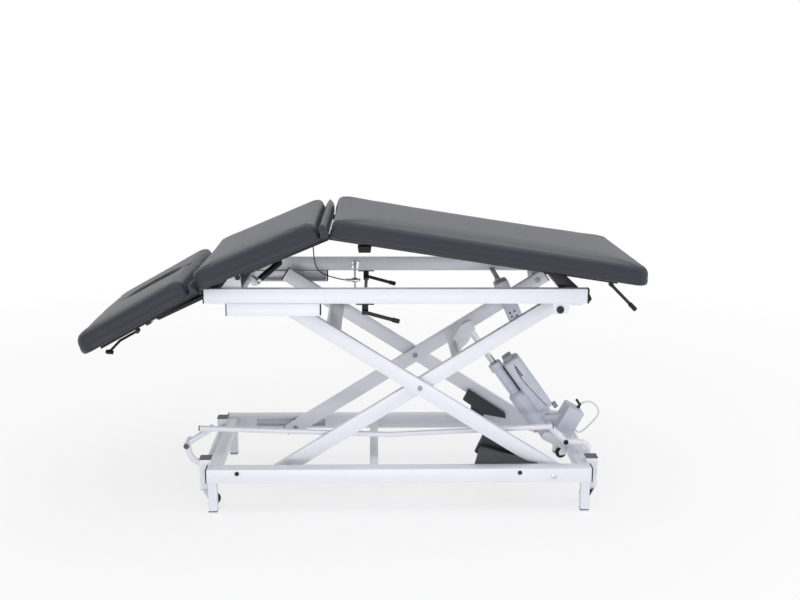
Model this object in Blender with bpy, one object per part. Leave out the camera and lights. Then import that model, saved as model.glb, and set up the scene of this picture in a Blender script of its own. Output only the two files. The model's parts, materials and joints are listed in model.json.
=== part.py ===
"""Electric treatment table with a scissor lift and three upholstered sections, in metres, +Z up.

+X runs from the head end to the foot end, the near side is -Y, and the floor is Z = 0.
The table stands with its middle raised: the head and middle sections slope down to the left,
and the long section slopes down to the right.
"""

import math

import bmesh
import bpy
from mathutils import Matrix, Vector

GAP = 0.0003
RUNNING_GAP = 0.0006

# Overall frame
HALF_WIDTH = 0.313
BASE_LEFT = -0.531
BASE_RIGHT = 0.787
TOP_LEFT = -0.519
TOP_RIGHT = 0.747

# Base
BASE_TUBE = 0.050
BASE_UNDERSIDE = 0.113
LEG_WIDTH = 0.030
LEG_INSET = 0.003
END_TUBE = 0.040
POST_WIDTH = 0.040
POST_OVERHANG = 0.033
POST_Y = 0.223
POST_BOTTOM = 0.064
POST_TOP = 0.173
MIDDLE_TUBE = 0.030
MIDDLE_TUBE_X = 0.040
SLOT_DEPTH = 0.030

# Castors
CASTOR_WHEEL_RADIUS = 0.0215
CASTOR_WHEEL_WIDTH = 0.018
CASTOR_CLEARANCE = 0.003
CASTOR_TRAIL = 0.026
CASTOR_TURNS = {"near_left": 0, "far_left": 180, "near_right": -60, "far_right": 0}
FORK_WALL = 0.003
FORK_PLATE = 0.004
FORK_LENGTH = 0.036

# Scissor lift
ARM_LENGTH = 1.088
ARM_HEIGHT = 0.050
ARM_THICKNESS = 0.025
ARM_OVERHANG = 0.034
ARM_LOW_CUT = 0.017
LIFT_PIVOT_X = 0.657
LIFT_DOWN = math.radians(18)
LIFT_UP = math.radians(8)
GUARD_THICKNESS = 0.018
ROLLER_AXLE_RADIUS = 0.008
PIVOT_BOSS_RADIUS = 0.018
CROSS_TUBE_WIDTH = 0.048
CROSS_TUBE_HEIGHT = 0.030
OUTER_CROSS_REACH = 0.896
INNER_CROSS_REACH = 0.704
EYE_FROM_CROSS = 0.078
EYE_OFFSET = 0.034

# Top frame
TOP_UNDERSIDE = 0.740
TOP_TUBE_DEPTH = 0.030
TOP_TUBE_HEIGHT = 0.050
RAIL_LEFT = -0.445
RAIL_RIGHT = -0.139
RAIL_HEIGHT = 0.041
RAIL_DEPTH = 0.040
RAIL_WALL = 0.004
TOP_CROSS_HEIGHT = 0.030
TOP_CROSS_WIDTH = 0.040
TOP_CROSS_LEFT_X = -0.415
TOP_CROSS_RIGHT_X = 0.7195
TOP_CROSS_RIGHT_WIDTH = 0.035
TOP_CROSS_RIGHT_TOP = 0.746
TOP_CROSS_RIGHT_HEIGHT = 0.018
SLIDE_SLOT_DEPTH = 0.015
CONTROL_LENGTH = 0.172
CONTROL_WIDTH = 0.053
CONTROL_DEPTH = 0.070
CONTROL_Y = 0.045
CONTROL_X = 0.4995
CONTROL_TOP = 0.742
CONTROL_TILT = math.radians(24)
LEVER_SHAFT_X = 0.0105
LEVER_DROP = 0.028
STOP_RISE = 0.066
STOP_REACH = Vector((0.0340, 0, 0))
CABLE_RADIUS = 0.0022
POWER_BOX_TILT = math.radians(28)

# Sections
SECTION_WIDTH = 0.700
CUSHION_THICKNESS = 0.072
CUSHION_CROWN = 0.006
CUSHION_CORNER = 0.035
CUSHION_DRAW = 0.003
MID_TILT = math.radians(23.0)
LONG_TILT = math.radians(8.75)
HEAD_TILT = math.radians(29.4)
PEAK_X = -0.115
PEAK_Z = 0.9525
HINGE_DROP = 0.009
PEAK_END_GAP = 0.012
LONG_END_GAP = 0.006
MID_LENGTH = 0.4386
LONG_LENGTH = 1.064
HEAD_LENGTH = 0.4192
HEAD_HINGE_TO_MID = 0.002
HEAD_HINGE_TO_HEAD = 0.026
LUG_PIN_X = -0.408
LUG_PIN_Z = 0.825
BAR_HEIGHT = 0.017
BAR_WIDTH = 0.028
BAR_PIN_RADIUS = 0.005
BAR_BOSS_RADIUS = 0.0082
SLIDE_PIN_RADIUS = 0.011
STRUT_THICKNESS = 0.008
FACE_SLOT_LENGTH = 0.225
FACE_SLOT_WIDTH = 0.110
FACE_SLOT_FROM_END = 0.056
HEAD_SPRING_Y = -0.110

# Foot control
PEDAL_TUBE_RADIUS = 0.0115
PEDAL_BAR_RADIUS = 0.0108
TORQUE_TUBE_RADIUS = 0.012
RAIL_TUBE_RADIUS = 0.010
FOOT_RAIL_Y = -0.182

# Colours
WHITE_PAINT = (0.86, 0.87, 0.89)
BLACK_PAINT = (0.02, 0.02, 0.022)
GREY_PLASTIC = (0.62, 0.65, 0.70)
DARK_PLASTIC = (0.07, 0.072, 0.085)
STEEL = (0.65, 0.66, 0.68)
VINYL = (0.075, 0.077, 0.090)

# Places that follow from the sizes above
BASE_INNER = HALF_WIDTH - BASE_TUBE
BASE_MID_Z = BASE_UNDERSIDE + BASE_TUBE / 2
BASE_TOP = BASE_UNDERSIDE + BASE_TUBE
TOP_INNER = HALF_WIDTH - TOP_TUBE_DEPTH
TOP_SURFACE = TOP_UNDERSIDE + TOP_TUBE_HEIGHT
RAIL_MID_Z = TOP_UNDERSIDE - RAIL_HEIGHT / 2
UPPER_ROLLER_RADIUS = RAIL_HEIGHT / 2 - RAIL_WALL - RUNNING_GAP
LOWER_ROLLER_RADIUS = 0.015
OUTER_ARM_OUT = BASE_INNER - GUARD_THICKNESS - 0.002
OUTER_ARM_IN = OUTER_ARM_OUT - ARM_THICKNESS
INNER_ARM_OUT = OUTER_ARM_IN - RUNNING_GAP
INNER_ARM_IN = INNER_ARM_OUT - ARM_THICKNESS
LIFT_ANGLE = math.asin((RAIL_MID_Z - BASE_MID_Z) / ARM_LENGTH)
LIFT_SPAN = ARM_LENGTH * math.cos(LIFT_ANGLE)
ROLLER_X = LIFT_PIVOT_X - LIFT_SPAN
ALONG_OUTER = Vector((-math.cos(LIFT_ANGLE), 0, math.sin(LIFT_ANGLE)))
ALONG_INNER = Vector((math.cos(LIFT_ANGLE), 0, math.sin(LIFT_ANGLE)))
ABOVE_INNER = Vector((-math.sin(LIFT_ANGLE), 0, math.cos(LIFT_ANGLE)))
LIFT_PIVOT = Vector((LIFT_PIVOT_X, 0, BASE_MID_Z))
TOP_PIVOT = Vector((LIFT_PIVOT_X, 0, RAIL_MID_Z))
LOWER_ROLLER = Vector((ROLLER_X, 0, BASE_MID_Z))
UPPER_ROLLER = Vector((ROLLER_X, 0, RAIL_MID_Z))
CENTRE_PIVOT = (LIFT_PIVOT + UPPER_ROLLER) / 2
EYE_REACH = INNER_CROSS_REACH + EYE_FROM_CROSS
ROD_EYE = LOWER_ROLLER + ALONG_INNER * EYE_REACH + ABOVE_INNER * EYE_OFFSET
REAR_PIVOT = LIFT_PIVOT + Vector((0.015, 0, 0.0405))
LUG_PIN = Vector((LUG_PIN_X, 0, LUG_PIN_Z))
PEAK = Vector((PEAK_X, 0, PEAK_Z))
ALONG_MID = Vector((math.cos(MID_TILT), 0, math.sin(MID_TILT)))
ABOVE_MID = Vector((-math.sin(MID_TILT), 0, math.cos(MID_TILT)))
ALONG_LONG = Vector((math.cos(LONG_TILT), 0, -math.sin(LONG_TILT)))
ABOVE_LONG = Vector((math.sin(LONG_TILT), 0, math.cos(LONG_TILT)))
ALONG_HEAD = Vector((math.cos(HEAD_TILT), 0, math.sin(HEAD_TILT)))
ABOVE_HEAD = Vector((-math.sin(HEAD_TILT), 0, math.cos(HEAD_TILT)))
HEAD_HINGE = PEAK - ALONG_MID * (PEAK_END_GAP + MID_LENGTH + HEAD_HINGE_TO_MID)
PEDAL_LEFT = Vector((BASE_LEFT - TORQUE_TUBE_RADIUS - GAP, 0, BASE_MID_Z))
PEDAL_RIGHT = Vector((BASE_RIGHT + TORQUE_TUBE_RADIUS + GAP, 0, BASE_MID_Z))
POST_LEFT_X = BASE_LEFT - POST_OVERHANG + POST_WIDTH / 2
POST_RIGHT_X = BASE_RIGHT + POST_OVERHANG - POST_WIDTH / 2
GAS_FOOT = Vector((TOP_CROSS_LEFT_X + 0.0335, 0, TOP_SURFACE - TOP_CROSS_HEIGHT - 0.011))
GAS_HEAD = LUG_PIN + ALONG_MID * 0.158 - ABOVE_MID * 0.030
HEAD_GAS_FOOT = HEAD_HINGE + ALONG_MID * 0.040 - ABOVE_MID * 0.036
HEAD_GAS_HEAD = HEAD_HINGE - ALONG_HEAD * 0.255 - ABOVE_HEAD * 0.020
POWER_BOX = REAR_PIVOT + Vector((0.084, 0, 0.0615))
LEVER_SHAFT = Vector((LEVER_SHAFT_X, 0, TOP_UNDERSIDE - LEVER_DROP))
BAR_OUT = TOP_INNER - 0.003
BAR_IN = BAR_OUT - BAR_WIDTH
INNER_BAR_OUT = BAR_IN - RUNNING_GAP
INNER_BAR_IN = INNER_BAR_OUT - BAR_WIDTH
CABLE_Y = (BAR_IN + BAR_OUT) / 2 - 0.004
CABLE_STOP = Vector((LEVER_SHAFT_X - 0.0423, CABLE_Y, LEVER_SHAFT.z - 0.0051))
LEVER_BELOW_BAR = BAR_HEIGHT - HINGE_DROP + 0.008
HEAD_LEVER = HEAD_HINGE - ALONG_HEAD * 0.265 - ABOVE_HEAD * LEVER_BELOW_BAR
END_LEVER = PEAK + ALONG_LONG * 0.968 - ABOVE_LONG * LEVER_BELOW_BAR
SIDES = (("near", -1), ("far", 1))


def turned_flat(tilt, from_peak):
    """A vector from the peak, turned by a tilt in the side view."""
    turn = Matrix.Rotation(-tilt, 4, "Y")
    return turn @ from_peak


# The peak's place when the middle section lies level
# and the slide pin that keeps its height from there to rest
FLAT_PEAK = LUG_PIN + turned_flat(-MID_TILT, PEAK - LUG_PIN)
SLIDE_Z = TOP_UNDERSIDE + TOP_TUBE_HEIGHT / 2
SLIDE_X = PEAK_X + (
    SLIDE_Z * (1 - math.cos(LONG_TILT)) - FLAT_PEAK.z + PEAK_Z * math.cos(LONG_TILT)
) / math.sin(LONG_TILT)
SLIDE_PIN = Vector((SLIDE_X, 0, SLIDE_Z))
FLAT_SLIDE = FLAT_PEAK + turned_flat(LONG_TILT, SLIDE_PIN - PEAK)


def clear_scene():
    for old in list(bpy.data.objects):
        bpy.data.objects.remove(old, do_unlink=True)


def collection(name):
    made = bpy.data.collections.new(name)
    bpy.context.scene.collection.children.link(made)
    return made


clear_scene()
TABLE = collection("treatment_table")
CUTTERS = collection("cutters")


def finish(name, colour, roughness=0.45, metallic=0.0):
    """A Principled material, made once for each name."""
    made = bpy.data.materials.get(name)
    if made is None:
        made = bpy.data.materials.new(name)
        made.use_nodes = True
        shader = made.node_tree.nodes["Principled BSDF"]
        shader.inputs["Base Color"].default_value = (*colour, 1)
        shader.inputs["Roughness"].default_value = roughness
        shader.inputs["Metallic"].default_value = metallic
    return made


def white():
    return finish("white_paint", WHITE_PAINT, 0.35)


def black():
    return finish("black_paint", BLACK_PAINT, 0.4)


def grey():
    return finish("grey_plastic", GREY_PLASTIC, 0.5)


def dark():
    return finish("dark_plastic", DARK_PLASTIC, 0.6)


def steel():
    return finish("steel", STEEL, 0.3, 1.0)


def vinyl():
    return finish("black_vinyl", VINYL, 0.5)


def mesh_object(name, shape, at=Vector((0, 0, 0)), home=None):
    """An object whose origin is at the given point, from a bmesh in world coordinates."""
    shape.transform(Matrix.Translation(-at))
    shape.normal_update()
    bmesh.ops.recalc_face_normals(shape, faces=shape.faces[:])
    mesh = bpy.data.meshes.new(name)
    shape.to_mesh(mesh)
    shape.free()
    made = bpy.data.objects.new(name, mesh)
    made.location = at
    (home or TABLE).objects.link(made)
    return made


def box_shape(low, high, bevel=0.0, segments=2):
    low, high = Vector(low), Vector(high)
    shape = bmesh.new()
    size = high - low
    place = Matrix.Translation((low + high) / 2) @ Matrix.Diagonal((*size, 1))
    bmesh.ops.create_cube(shape, size=1, matrix=place)
    if bevel:
        bmesh.ops.bevel(
            shape, geom=shape.edges[:], offset=bevel, segments=segments, profile=0.5, affect="EDGES"
        )
    return shape


def rod_shape(start, end, radius, sides=20):
    start, end = Vector(start), Vector(end)
    along = end - start
    shape = bmesh.new()
    place = Matrix.Translation((start + end) / 2) @ along.to_track_quat("Z", "Y").to_matrix().to_4x4()
    bmesh.ops.create_cone(
        shape,
        cap_ends=True,
        segments=sides,
        radius1=radius,
        radius2=radius,
        depth=along.length,
        matrix=place,
    )
    return shape


def cross_rod_shape(centre, low_y, high_y, radius, sides=20):
    return rod_shape((centre.x, low_y, centre.z), (centre.x, high_y, centre.z), radius, sides)


def curve_to_mesh(curve_object):
    """The evaluated curve as a welded bmesh in world coordinates; the curve is removed."""
    bpy.context.view_layer.update()
    graph = bpy.context.evaluated_depsgraph_get()
    mesh = bpy.data.meshes.new_from_object(curve_object.evaluated_get(graph))
    shape = bmesh.new()
    shape.from_mesh(mesh)
    shape.transform(curve_object.matrix_world)
    bmesh.ops.remove_doubles(shape, verts=shape.verts[:], dist=1e-5)
    bpy.data.meshes.remove(mesh)
    bpy.data.objects.remove(curve_object, do_unlink=True)
    return shape


def filled_shape(points, thickness, place):
    """A flat outline in its own XY plane, extruded about it and then placed."""
    data = bpy.data.curves.new("outline", "CURVE")
    data.dimensions = "2D"
    data.fill_mode = "BOTH"
    data.extrude = thickness / 2
    spline = data.splines.new("POLY")
    spline.points.add(len(points) - 1)
    for point, (x, y) in zip(spline.points, points):
        point.co = (x, y, 0, 1)
    spline.use_cyclic_u = True
    holder = bpy.data.objects.new("outline", data)
    holder.matrix_world = place
    bpy.context.scene.collection.objects.link(holder)
    return curve_to_mesh(holder)


def outline_shape(points, low_y, high_y):
    """A flat outline given as (x, z) points, extruded between two Y values."""
    upright = Matrix.Rotation(math.pi / 2, 4, "X")
    place = Matrix.Translation((0, (low_y + high_y) / 2, 0)) @ upright
    return filled_shape(points, high_y - low_y, place)


def smooth_route(points, steps):
    """Points on a smooth curve through the given ones."""
    route = []
    ends = [2 * points[0] - points[1], *points, 2 * points[-1] - points[-2]]
    for before, start, end, after in zip(ends, ends[1:], ends[2:], ends[3:]):
        for step in range(steps):
            t = step / steps
            route.append(
                0.5
                * (
                    2 * start
                    + (end - before) * t
                    + (2 * before - 5 * start + 4 * end - after) * t**2
                    + (3 * start - before - 3 * end + after) * t**3
                )
            )
    route.append(points[-1])
    return route


def tube_curve(points, radius, resolution):
    data = bpy.data.curves.new("tube", "CURVE")
    data.dimensions = "3D"
    data.bevel_depth = radius
    data.bevel_resolution = resolution
    data.use_fill_caps = True
    spline = data.splines.new("POLY")
    spline.points.add(len(points) - 1)
    for point, place in zip(spline.points, points):
        point.co = (*place, 1)
    holder = bpy.data.objects.new("tube", data)
    bpy.context.scene.collection.objects.link(holder)
    return holder


def tube_shape(points, radius, resolution=2, steps=1):
    route = smooth_route(points, steps) if steps > 1 else points
    return curve_to_mesh(tube_curve(route, radius, resolution))


def change(target, operation, shapes):
    """Joins or cuts the shapes into the target with Boolean modifiers."""
    for count, shape in enumerate(shapes):
        helper = mesh_object(f"{target.name}_{operation.lower()}_{count}", shape, home=CUTTERS)
        helper.hide_render = True
        helper.display_type = "WIRE"
        modifier = target.modifiers.new(helper.name, "BOOLEAN")
        modifier.operation = operation
        modifier.object = helper
        modifier.solver = "EXACT"


def join(target, *shapes):
    change(target, "UNION", shapes)


def cut(target, *shapes):
    change(target, "DIFFERENCE", shapes)


def piece(name, shape, material, at=Vector((0, 0, 0)), smooth=False):
    made = mesh_object(name, shape, at)
    made.data.materials.append(material)
    if smooth:
        made.data.shade_smooth()
        made.data.set_sharp_from_angle(angle=math.radians(35))
    return made


def mirrored(side, low, high):
    """The Y span of a side, given as distances from the middle plane, lowest first."""
    return (low, high) if side > 0 else (-high, -low)


def tilted_box(centre, along, length, height, low_y, high_y, bevel=0.0):
    """A bar in the side view, with its length along the given direction."""
    shape = box_shape((-length / 2, low_y, -height / 2), (length / 2, high_y, height / 2), bevel)
    angle = math.atan2(along.z, along.x)
    shape.transform(Matrix.Translation((centre.x, 0, centre.z)) @ Matrix.Rotation(-angle, 4, "Y"))
    return shape


def base_tubes():
    travel = [
        LIFT_PIVOT_X - ARM_LENGTH * math.cos(LIFT_ANGLE - LIFT_DOWN),
        LIFT_PIVOT_X - ARM_LENGTH * math.cos(LIFT_ANGLE + LIFT_UP),
    ]
    slot_end = LOWER_ROLLER_RADIUS + 0.006
    for name, side in SIDES:
        low_y, high_y = mirrored(side, BASE_INNER, HALF_WIDTH)
        tube = piece(
            f"base_tube_{name}",
            box_shape((BASE_LEFT, low_y, BASE_UNDERSIDE), (BASE_RIGHT, high_y, BASE_TOP), 0.003),
            white(),
        )
        middle = side * (HALF_WIDTH + BASE_INNER) / 2
        legs = [
            (BASE_LEFT + LEG_INSET, BASE_LEFT + LEG_INSET + LEG_WIDTH),
            (BASE_RIGHT - LEG_INSET - LEG_WIDTH, BASE_RIGHT - LEG_INSET),
        ]
        for left, right in legs:
            join(
                tube,
                box_shape(
                    (left, middle - LEG_WIDTH / 2, 0),
                    (right, middle + LEG_WIDTH / 2, BASE_MID_Z),
                    0.002,
                ),
            )
        boss_low, boss_high = mirrored(side, OUTER_ARM_OUT + RUNNING_GAP, BASE_INNER + 0.01)
        join(tube, cross_rod_shape(LIFT_PIVOT, boss_low, boss_high, PIVOT_BOSS_RADIUS, 24))
        slot_low, slot_high = mirrored(side, BASE_INNER - 0.01, BASE_INNER + SLOT_DEPTH)
        slot_half = LOWER_ROLLER_RADIUS + RUNNING_GAP
        cut(
            tube,
            box_shape(
                (travel[0] - slot_end, slot_low, BASE_MID_Z - slot_half),
                (travel[1] + slot_end, slot_high, BASE_MID_Z + slot_half),
            ),
        )


def base_ends():
    reach = BASE_INNER - GAP
    ends = (("left", BASE_LEFT, POST_LEFT_X), ("right", BASE_RIGHT - END_TUBE, POST_RIGHT_X))
    for name, left, post_x in ends:
        tube = piece(
            f"base_end_{name}",
            box_shape(
                (left, -reach, BASE_MID_Z - END_TUBE / 2),
                (left + END_TUBE, reach, BASE_MID_Z + END_TUBE / 2),
                0.003,
            ),
            white(),
        )
        for side in (-1, 1):
            low_y, high_y = mirrored(side, POST_Y - POST_WIDTH / 2, POST_Y + POST_WIDTH / 2)
            join(
                tube,
                box_shape(
                    (post_x - POST_WIDTH / 2, low_y, POST_BOTTOM),
                    (post_x + POST_WIDTH / 2, high_y, POST_TOP),
                    0.0025,
                ),
            )
    piece(
        "base_cross_middle",
        box_shape(
            (MIDDLE_TUBE_X - MIDDLE_TUBE / 2, -reach, BASE_MID_Z - MIDDLE_TUBE / 2),
            (MIDDLE_TUBE_X + MIDDLE_TUBE / 2, reach, BASE_MID_Z + MIDDLE_TUBE / 2),
            0.002,
        ),
        white(),
    )


def turned(shape, turn):
    shape.transform(turn)
    return shape


def castors():
    axle_z = CASTOR_CLEARANCE + CASTOR_WHEEL_RADIUS
    inner = CASTOR_WHEEL_WIDTH / 2 + RUNNING_GAP
    for end, post_x, toward in (("left", POST_LEFT_X, 1), ("right", POST_RIGHT_X, -1)):
        for name, side in SIDES:
            stem = Vector((post_x, side * POST_Y, POST_BOTTOM - GAP))
            axle = Vector((post_x + toward * CASTOR_TRAIL, side * POST_Y, axle_z))
            swivel = Matrix.Rotation(math.radians(CASTOR_TURNS[f"{name}_{end}"]), 4, "Z")
            turn = Matrix.Translation(stem) @ swivel @ Matrix.Translation(-stem)
            plate_x = sorted((post_x - toward * FORK_LENGTH / 2, post_x + toward * FORK_LENGTH / 2))
            plate = box_shape(
                (plate_x[0], stem.y - FORK_LENGTH / 2, stem.z - FORK_PLATE),
                (plate_x[1], stem.y + FORK_LENGTH / 2, stem.z),
                0.0012,
                1,
            )
            fork = piece(f"castor_fork_{name}_{end}", turned(plate, turn), steel(), stem)
            cheek = [
                (post_x - toward * 0.015, stem.z - FORK_PLATE + 0.001),
                (post_x + toward * 0.015, stem.z - FORK_PLATE + 0.001),
                (axle.x + toward * 0.009, axle.z + 0.006),
                (axle.x + toward * 0.006, axle.z - 0.009),
                (axle.x - toward * 0.016, axle.z - 0.006),
            ]
            for face in (-1, 1):
                low_y, high_y = mirrored(face, inner, inner + FORK_WALL)
                join(fork, turned(outline_shape(cheek, stem.y + low_y, stem.y + high_y), turn))
            pin = cross_rod_shape(axle, stem.y - inner - 0.001, stem.y + inner + 0.001, 0.004, 12)
            join(fork, turned(pin, turn))
            half = CASTOR_WHEEL_WIDTH / 2
            disc = cross_rod_shape(axle, stem.y - half, stem.y + half, CASTOR_WHEEL_RADIUS, 28)
            wheel = piece(f"castor_wheel_{name}_{end}", turned(disc, turn), dark(), turn @ axle, True)
            bore = cross_rod_shape(axle, stem.y - 0.02, stem.y + 0.02, 0.004 + GAP, 12)
            cut(wheel, turned(bore, turn))


def guards():
    base_outline = [
        (0.386, BASE_UNDERSIDE + 0.006),
        (0.386, 0.1467),
        (0.4046, 0.214),
        (0.4222, 0.2208),
        (0.5338, 0.1853),
        (0.5744, 0.1665),
        (0.6085, 0.1592),
        (0.6085, BASE_UNDERSIDE + 0.006),
    ]
    far_base_outline = [(0.415, 0.150), (0.4222, 0.2208), (0.470, 0.205), (0.470, 0.150)]
    near_outline = [(0.392, 0.188), (0.427, 0.264), (0.5485, 0.187), (0.5517, 0.150), (0.430, 0.165)]
    far_outline = [(0.384, 0.247), (0.4056, 0.288), (0.5485, 0.192), (0.5517, 0.172), (0.467, 0.188)]
    outlines = {"near": (base_outline, near_outline), "far": (far_base_outline, far_outline)}
    for name, side in SIDES:
        on_base, on_arm = outlines[name]
        low_y, high_y = mirrored(side, BASE_INNER - GAP - GUARD_THICKNESS, BASE_INNER - GAP)
        piece(f"base_guard_{name}", outline_shape(on_base, low_y, high_y), dark())
        low_y, high_y = mirrored(side, OUTER_ARM_IN - GAP - GUARD_THICKNESS, OUTER_ARM_IN - GAP)
        piece(f"arm_guard_{name}", outline_shape(on_arm, low_y, high_y), dark(), LIFT_PIVOT)


def arm_outline(length, low):
    """A bar along X, its first pivot at the origin, its lowest corner cut level with the floor."""
    half = ARM_HEIGHT / 2
    left = -ARM_OVERHANG
    right = length + ARM_OVERHANG
    level = ARM_LOW_CUT / math.tan(LIFT_ANGLE)
    outline = [(left, ARM_LOW_CUT - half), (left + level, -half), (right, -half), (right, half), (left, half)]
    if low > 0:
        outline = [(x, -z) for x, z in reversed(outline)]
    return outline


def scissor_arm(name, pivot, along, low_y, high_y, at):
    angle = math.atan2(along.z, along.x)
    low = -1 if along.x > 0 else 1
    shape = outline_shape(arm_outline(ARM_LENGTH, low), low_y, high_y)
    shape.transform(Matrix.Translation((pivot.x, 0, pivot.z)) @ Matrix.Rotation(-angle, 4, "Y"))
    return piece(name, shape, white(), at)


def outer_arms():
    for name, side in SIDES:
        low_y, high_y = mirrored(side, OUTER_ARM_IN, OUTER_ARM_OUT)
        scissor_arm(f"outer_arm_{name}", LIFT_PIVOT, ALONG_OUTER, low_y, high_y, LIFT_PIVOT)
    reach = OUTER_ARM_IN - GAP
    piece(
        "outer_cross_tube",
        tilted_box(
            LIFT_PIVOT + ALONG_OUTER * OUTER_CROSS_REACH,
            ALONG_OUTER,
            CROSS_TUBE_WIDTH,
            CROSS_TUBE_HEIGHT,
            -reach,
            reach,
            0.002,
        ),
        white(),
        LIFT_PIVOT,
    )


def inner_arms():
    for name, side in SIDES:
        low_y, high_y = mirrored(side, INNER_ARM_IN, INNER_ARM_OUT)
        scissor_arm(f"inner_arm_{name}", LOWER_ROLLER, ALONG_INNER, low_y, high_y, CENTRE_PIVOT)
    reach = INNER_ARM_IN - GAP
    cross = piece(
        "inner_cross_tube",
        tilted_box(
            LOWER_ROLLER + ALONG_INNER * INNER_CROSS_REACH,
            ALONG_INNER,
            CROSS_TUBE_HEIGHT,
            CROSS_TUBE_WIDTH,
            -reach,
            reach,
            0.002,
        ),
        white(),
        CENTRE_PIVOT,
    )
    gusset = []
    corners = (
        (-0.012, -0.020),
        (0.045, -0.010),
        (0.098, 0.020),
        (0.100, 0.056),
        (0.062, 0.060),
        (-0.012, 0.020),
    )
    for along, above in corners:
        corner = LOWER_ROLLER + ALONG_INNER * (INNER_CROSS_REACH + along) + ABOVE_INNER * above
        gusset.append((corner.x, corner.z))
    for side in (-1, 1):
        low_y, high_y = mirrored(side, 0.017, 0.023)
        join(cross, outline_shape(gusset, low_y, high_y))


def rollers():
    for name, side in SIDES:
        low_y, high_y = mirrored(side, HALF_WIDTH - RAIL_DEPTH + 0.003, HALF_WIDTH - RAIL_WALL - 0.003)
        upper = piece(
            f"upper_roller_{name}",
            cross_rod_shape(UPPER_ROLLER, low_y, high_y, UPPER_ROLLER_RADIUS, 24),
            dark(),
            UPPER_ROLLER,
            True,
        )
        axle = mirrored(side, OUTER_ARM_OUT + GAP, HALF_WIDTH - RAIL_DEPTH + 0.010)
        join(upper, cross_rod_shape(UPPER_ROLLER, *axle, ROLLER_AXLE_RADIUS, 16))
        low_y, high_y = mirrored(side, BASE_INNER + 0.003, BASE_INNER + SLOT_DEPTH - 0.003)
        lower = piece(
            f"lower_roller_{name}",
            cross_rod_shape(LOWER_ROLLER, low_y, high_y, LOWER_ROLLER_RADIUS, 24),
            dark(),
            LOWER_ROLLER,
            True,
        )
        axle = mirrored(side, INNER_ARM_OUT + GAP, BASE_INNER + 0.010)
        join(lower, cross_rod_shape(LOWER_ROLLER, *axle, ROLLER_AXLE_RADIUS, 16))


def top_tubes():
    slot_half = SLIDE_PIN_RADIUS + 0.0018
    lug = [
        (LUG_PIN_X - 0.058, TOP_SURFACE - 0.004),
        (LUG_PIN_X - 0.030, LUG_PIN_Z - 0.002),
        (LUG_PIN_X - 0.008, LUG_PIN_Z + 0.009),
        (LUG_PIN_X + 0.008, LUG_PIN_Z + 0.009),
        (LUG_PIN_X + 0.012, TOP_SURFACE - 0.004),
    ]
    bracket = [
        (LIFT_PIVOT_X - 0.026, TOP_UNDERSIDE + 0.004),
        (LIFT_PIVOT_X - 0.020, RAIL_MID_Z - 0.016),
        (LIFT_PIVOT_X + 0.024, RAIL_MID_Z - 0.016),
        (LIFT_PIVOT_X + 0.036, TOP_UNDERSIDE + 0.004),
    ]
    for name, side in SIDES:
        low_y, high_y = mirrored(side, TOP_INNER, HALF_WIDTH)
        tube = piece(
            f"top_tube_{name}",
            box_shape((TOP_LEFT, low_y, TOP_UNDERSIDE), (TOP_RIGHT, high_y, TOP_SURFACE), 0.003),
            white(),
            TOP_PIVOT,
        )
        slot_low, slot_high = mirrored(side, TOP_INNER - 0.01, TOP_INNER + SLIDE_SLOT_DEPTH)
        cut(
            tube,
            box_shape(
                (SLIDE_PIN.x - SLIDE_PIN_RADIUS - 0.002, slot_low, SLIDE_Z - slot_half),
                (FLAT_SLIDE.x + SLIDE_PIN_RADIUS + 0.02, slot_high, SLIDE_Z + slot_half),
            ),
        )
        lug_low, lug_high = mirrored(side, TOP_INNER + 0.004, TOP_INNER + 0.012)
        join(tube, outline_shape(lug, lug_low, lug_high))
        pin_low, pin_high = mirrored(side, BAR_IN + 0.002, TOP_INNER + 0.008)
        join(tube, cross_rod_shape(LUG_PIN, pin_low, pin_high, BAR_PIN_RADIUS, 16))
        plate_low, plate_high = mirrored(side, HALF_WIDTH - 0.012, HALF_WIDTH - 0.002)
        join(tube, outline_shape(bracket, plate_low, plate_high))
        boss_low, boss_high = mirrored(side, INNER_ARM_OUT + RUNNING_GAP, HALF_WIDTH - 0.007)
        join(tube, cross_rod_shape(TOP_PIVOT, boss_low, boss_high, 0.014, 20))


def roller_rails():
    for name, side in SIDES:
        low_y, high_y = mirrored(side, HALF_WIDTH - RAIL_DEPTH, HALF_WIDTH)
        top = TOP_UNDERSIDE - GAP
        rail = piece(
            f"roller_rail_{name}",
            box_shape((RAIL_LEFT, low_y, top - RAIL_HEIGHT + GAP), (RAIL_RIGHT, high_y, top)),
            white(),
            TOP_PIVOT,
        )
        low_y, high_y = mirrored(side, HALF_WIDTH - RAIL_DEPTH - 0.01, HALF_WIDTH - RAIL_WALL)
        cut(
            rail,
            box_shape(
                (RAIL_LEFT + RAIL_WALL, low_y, RAIL_MID_Z - RAIL_HEIGHT / 2 + RAIL_WALL),
                (RAIL_RIGHT - RAIL_WALL, high_y, RAIL_MID_Z + RAIL_HEIGHT / 2 - RAIL_WALL),
            ),
        )


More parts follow.
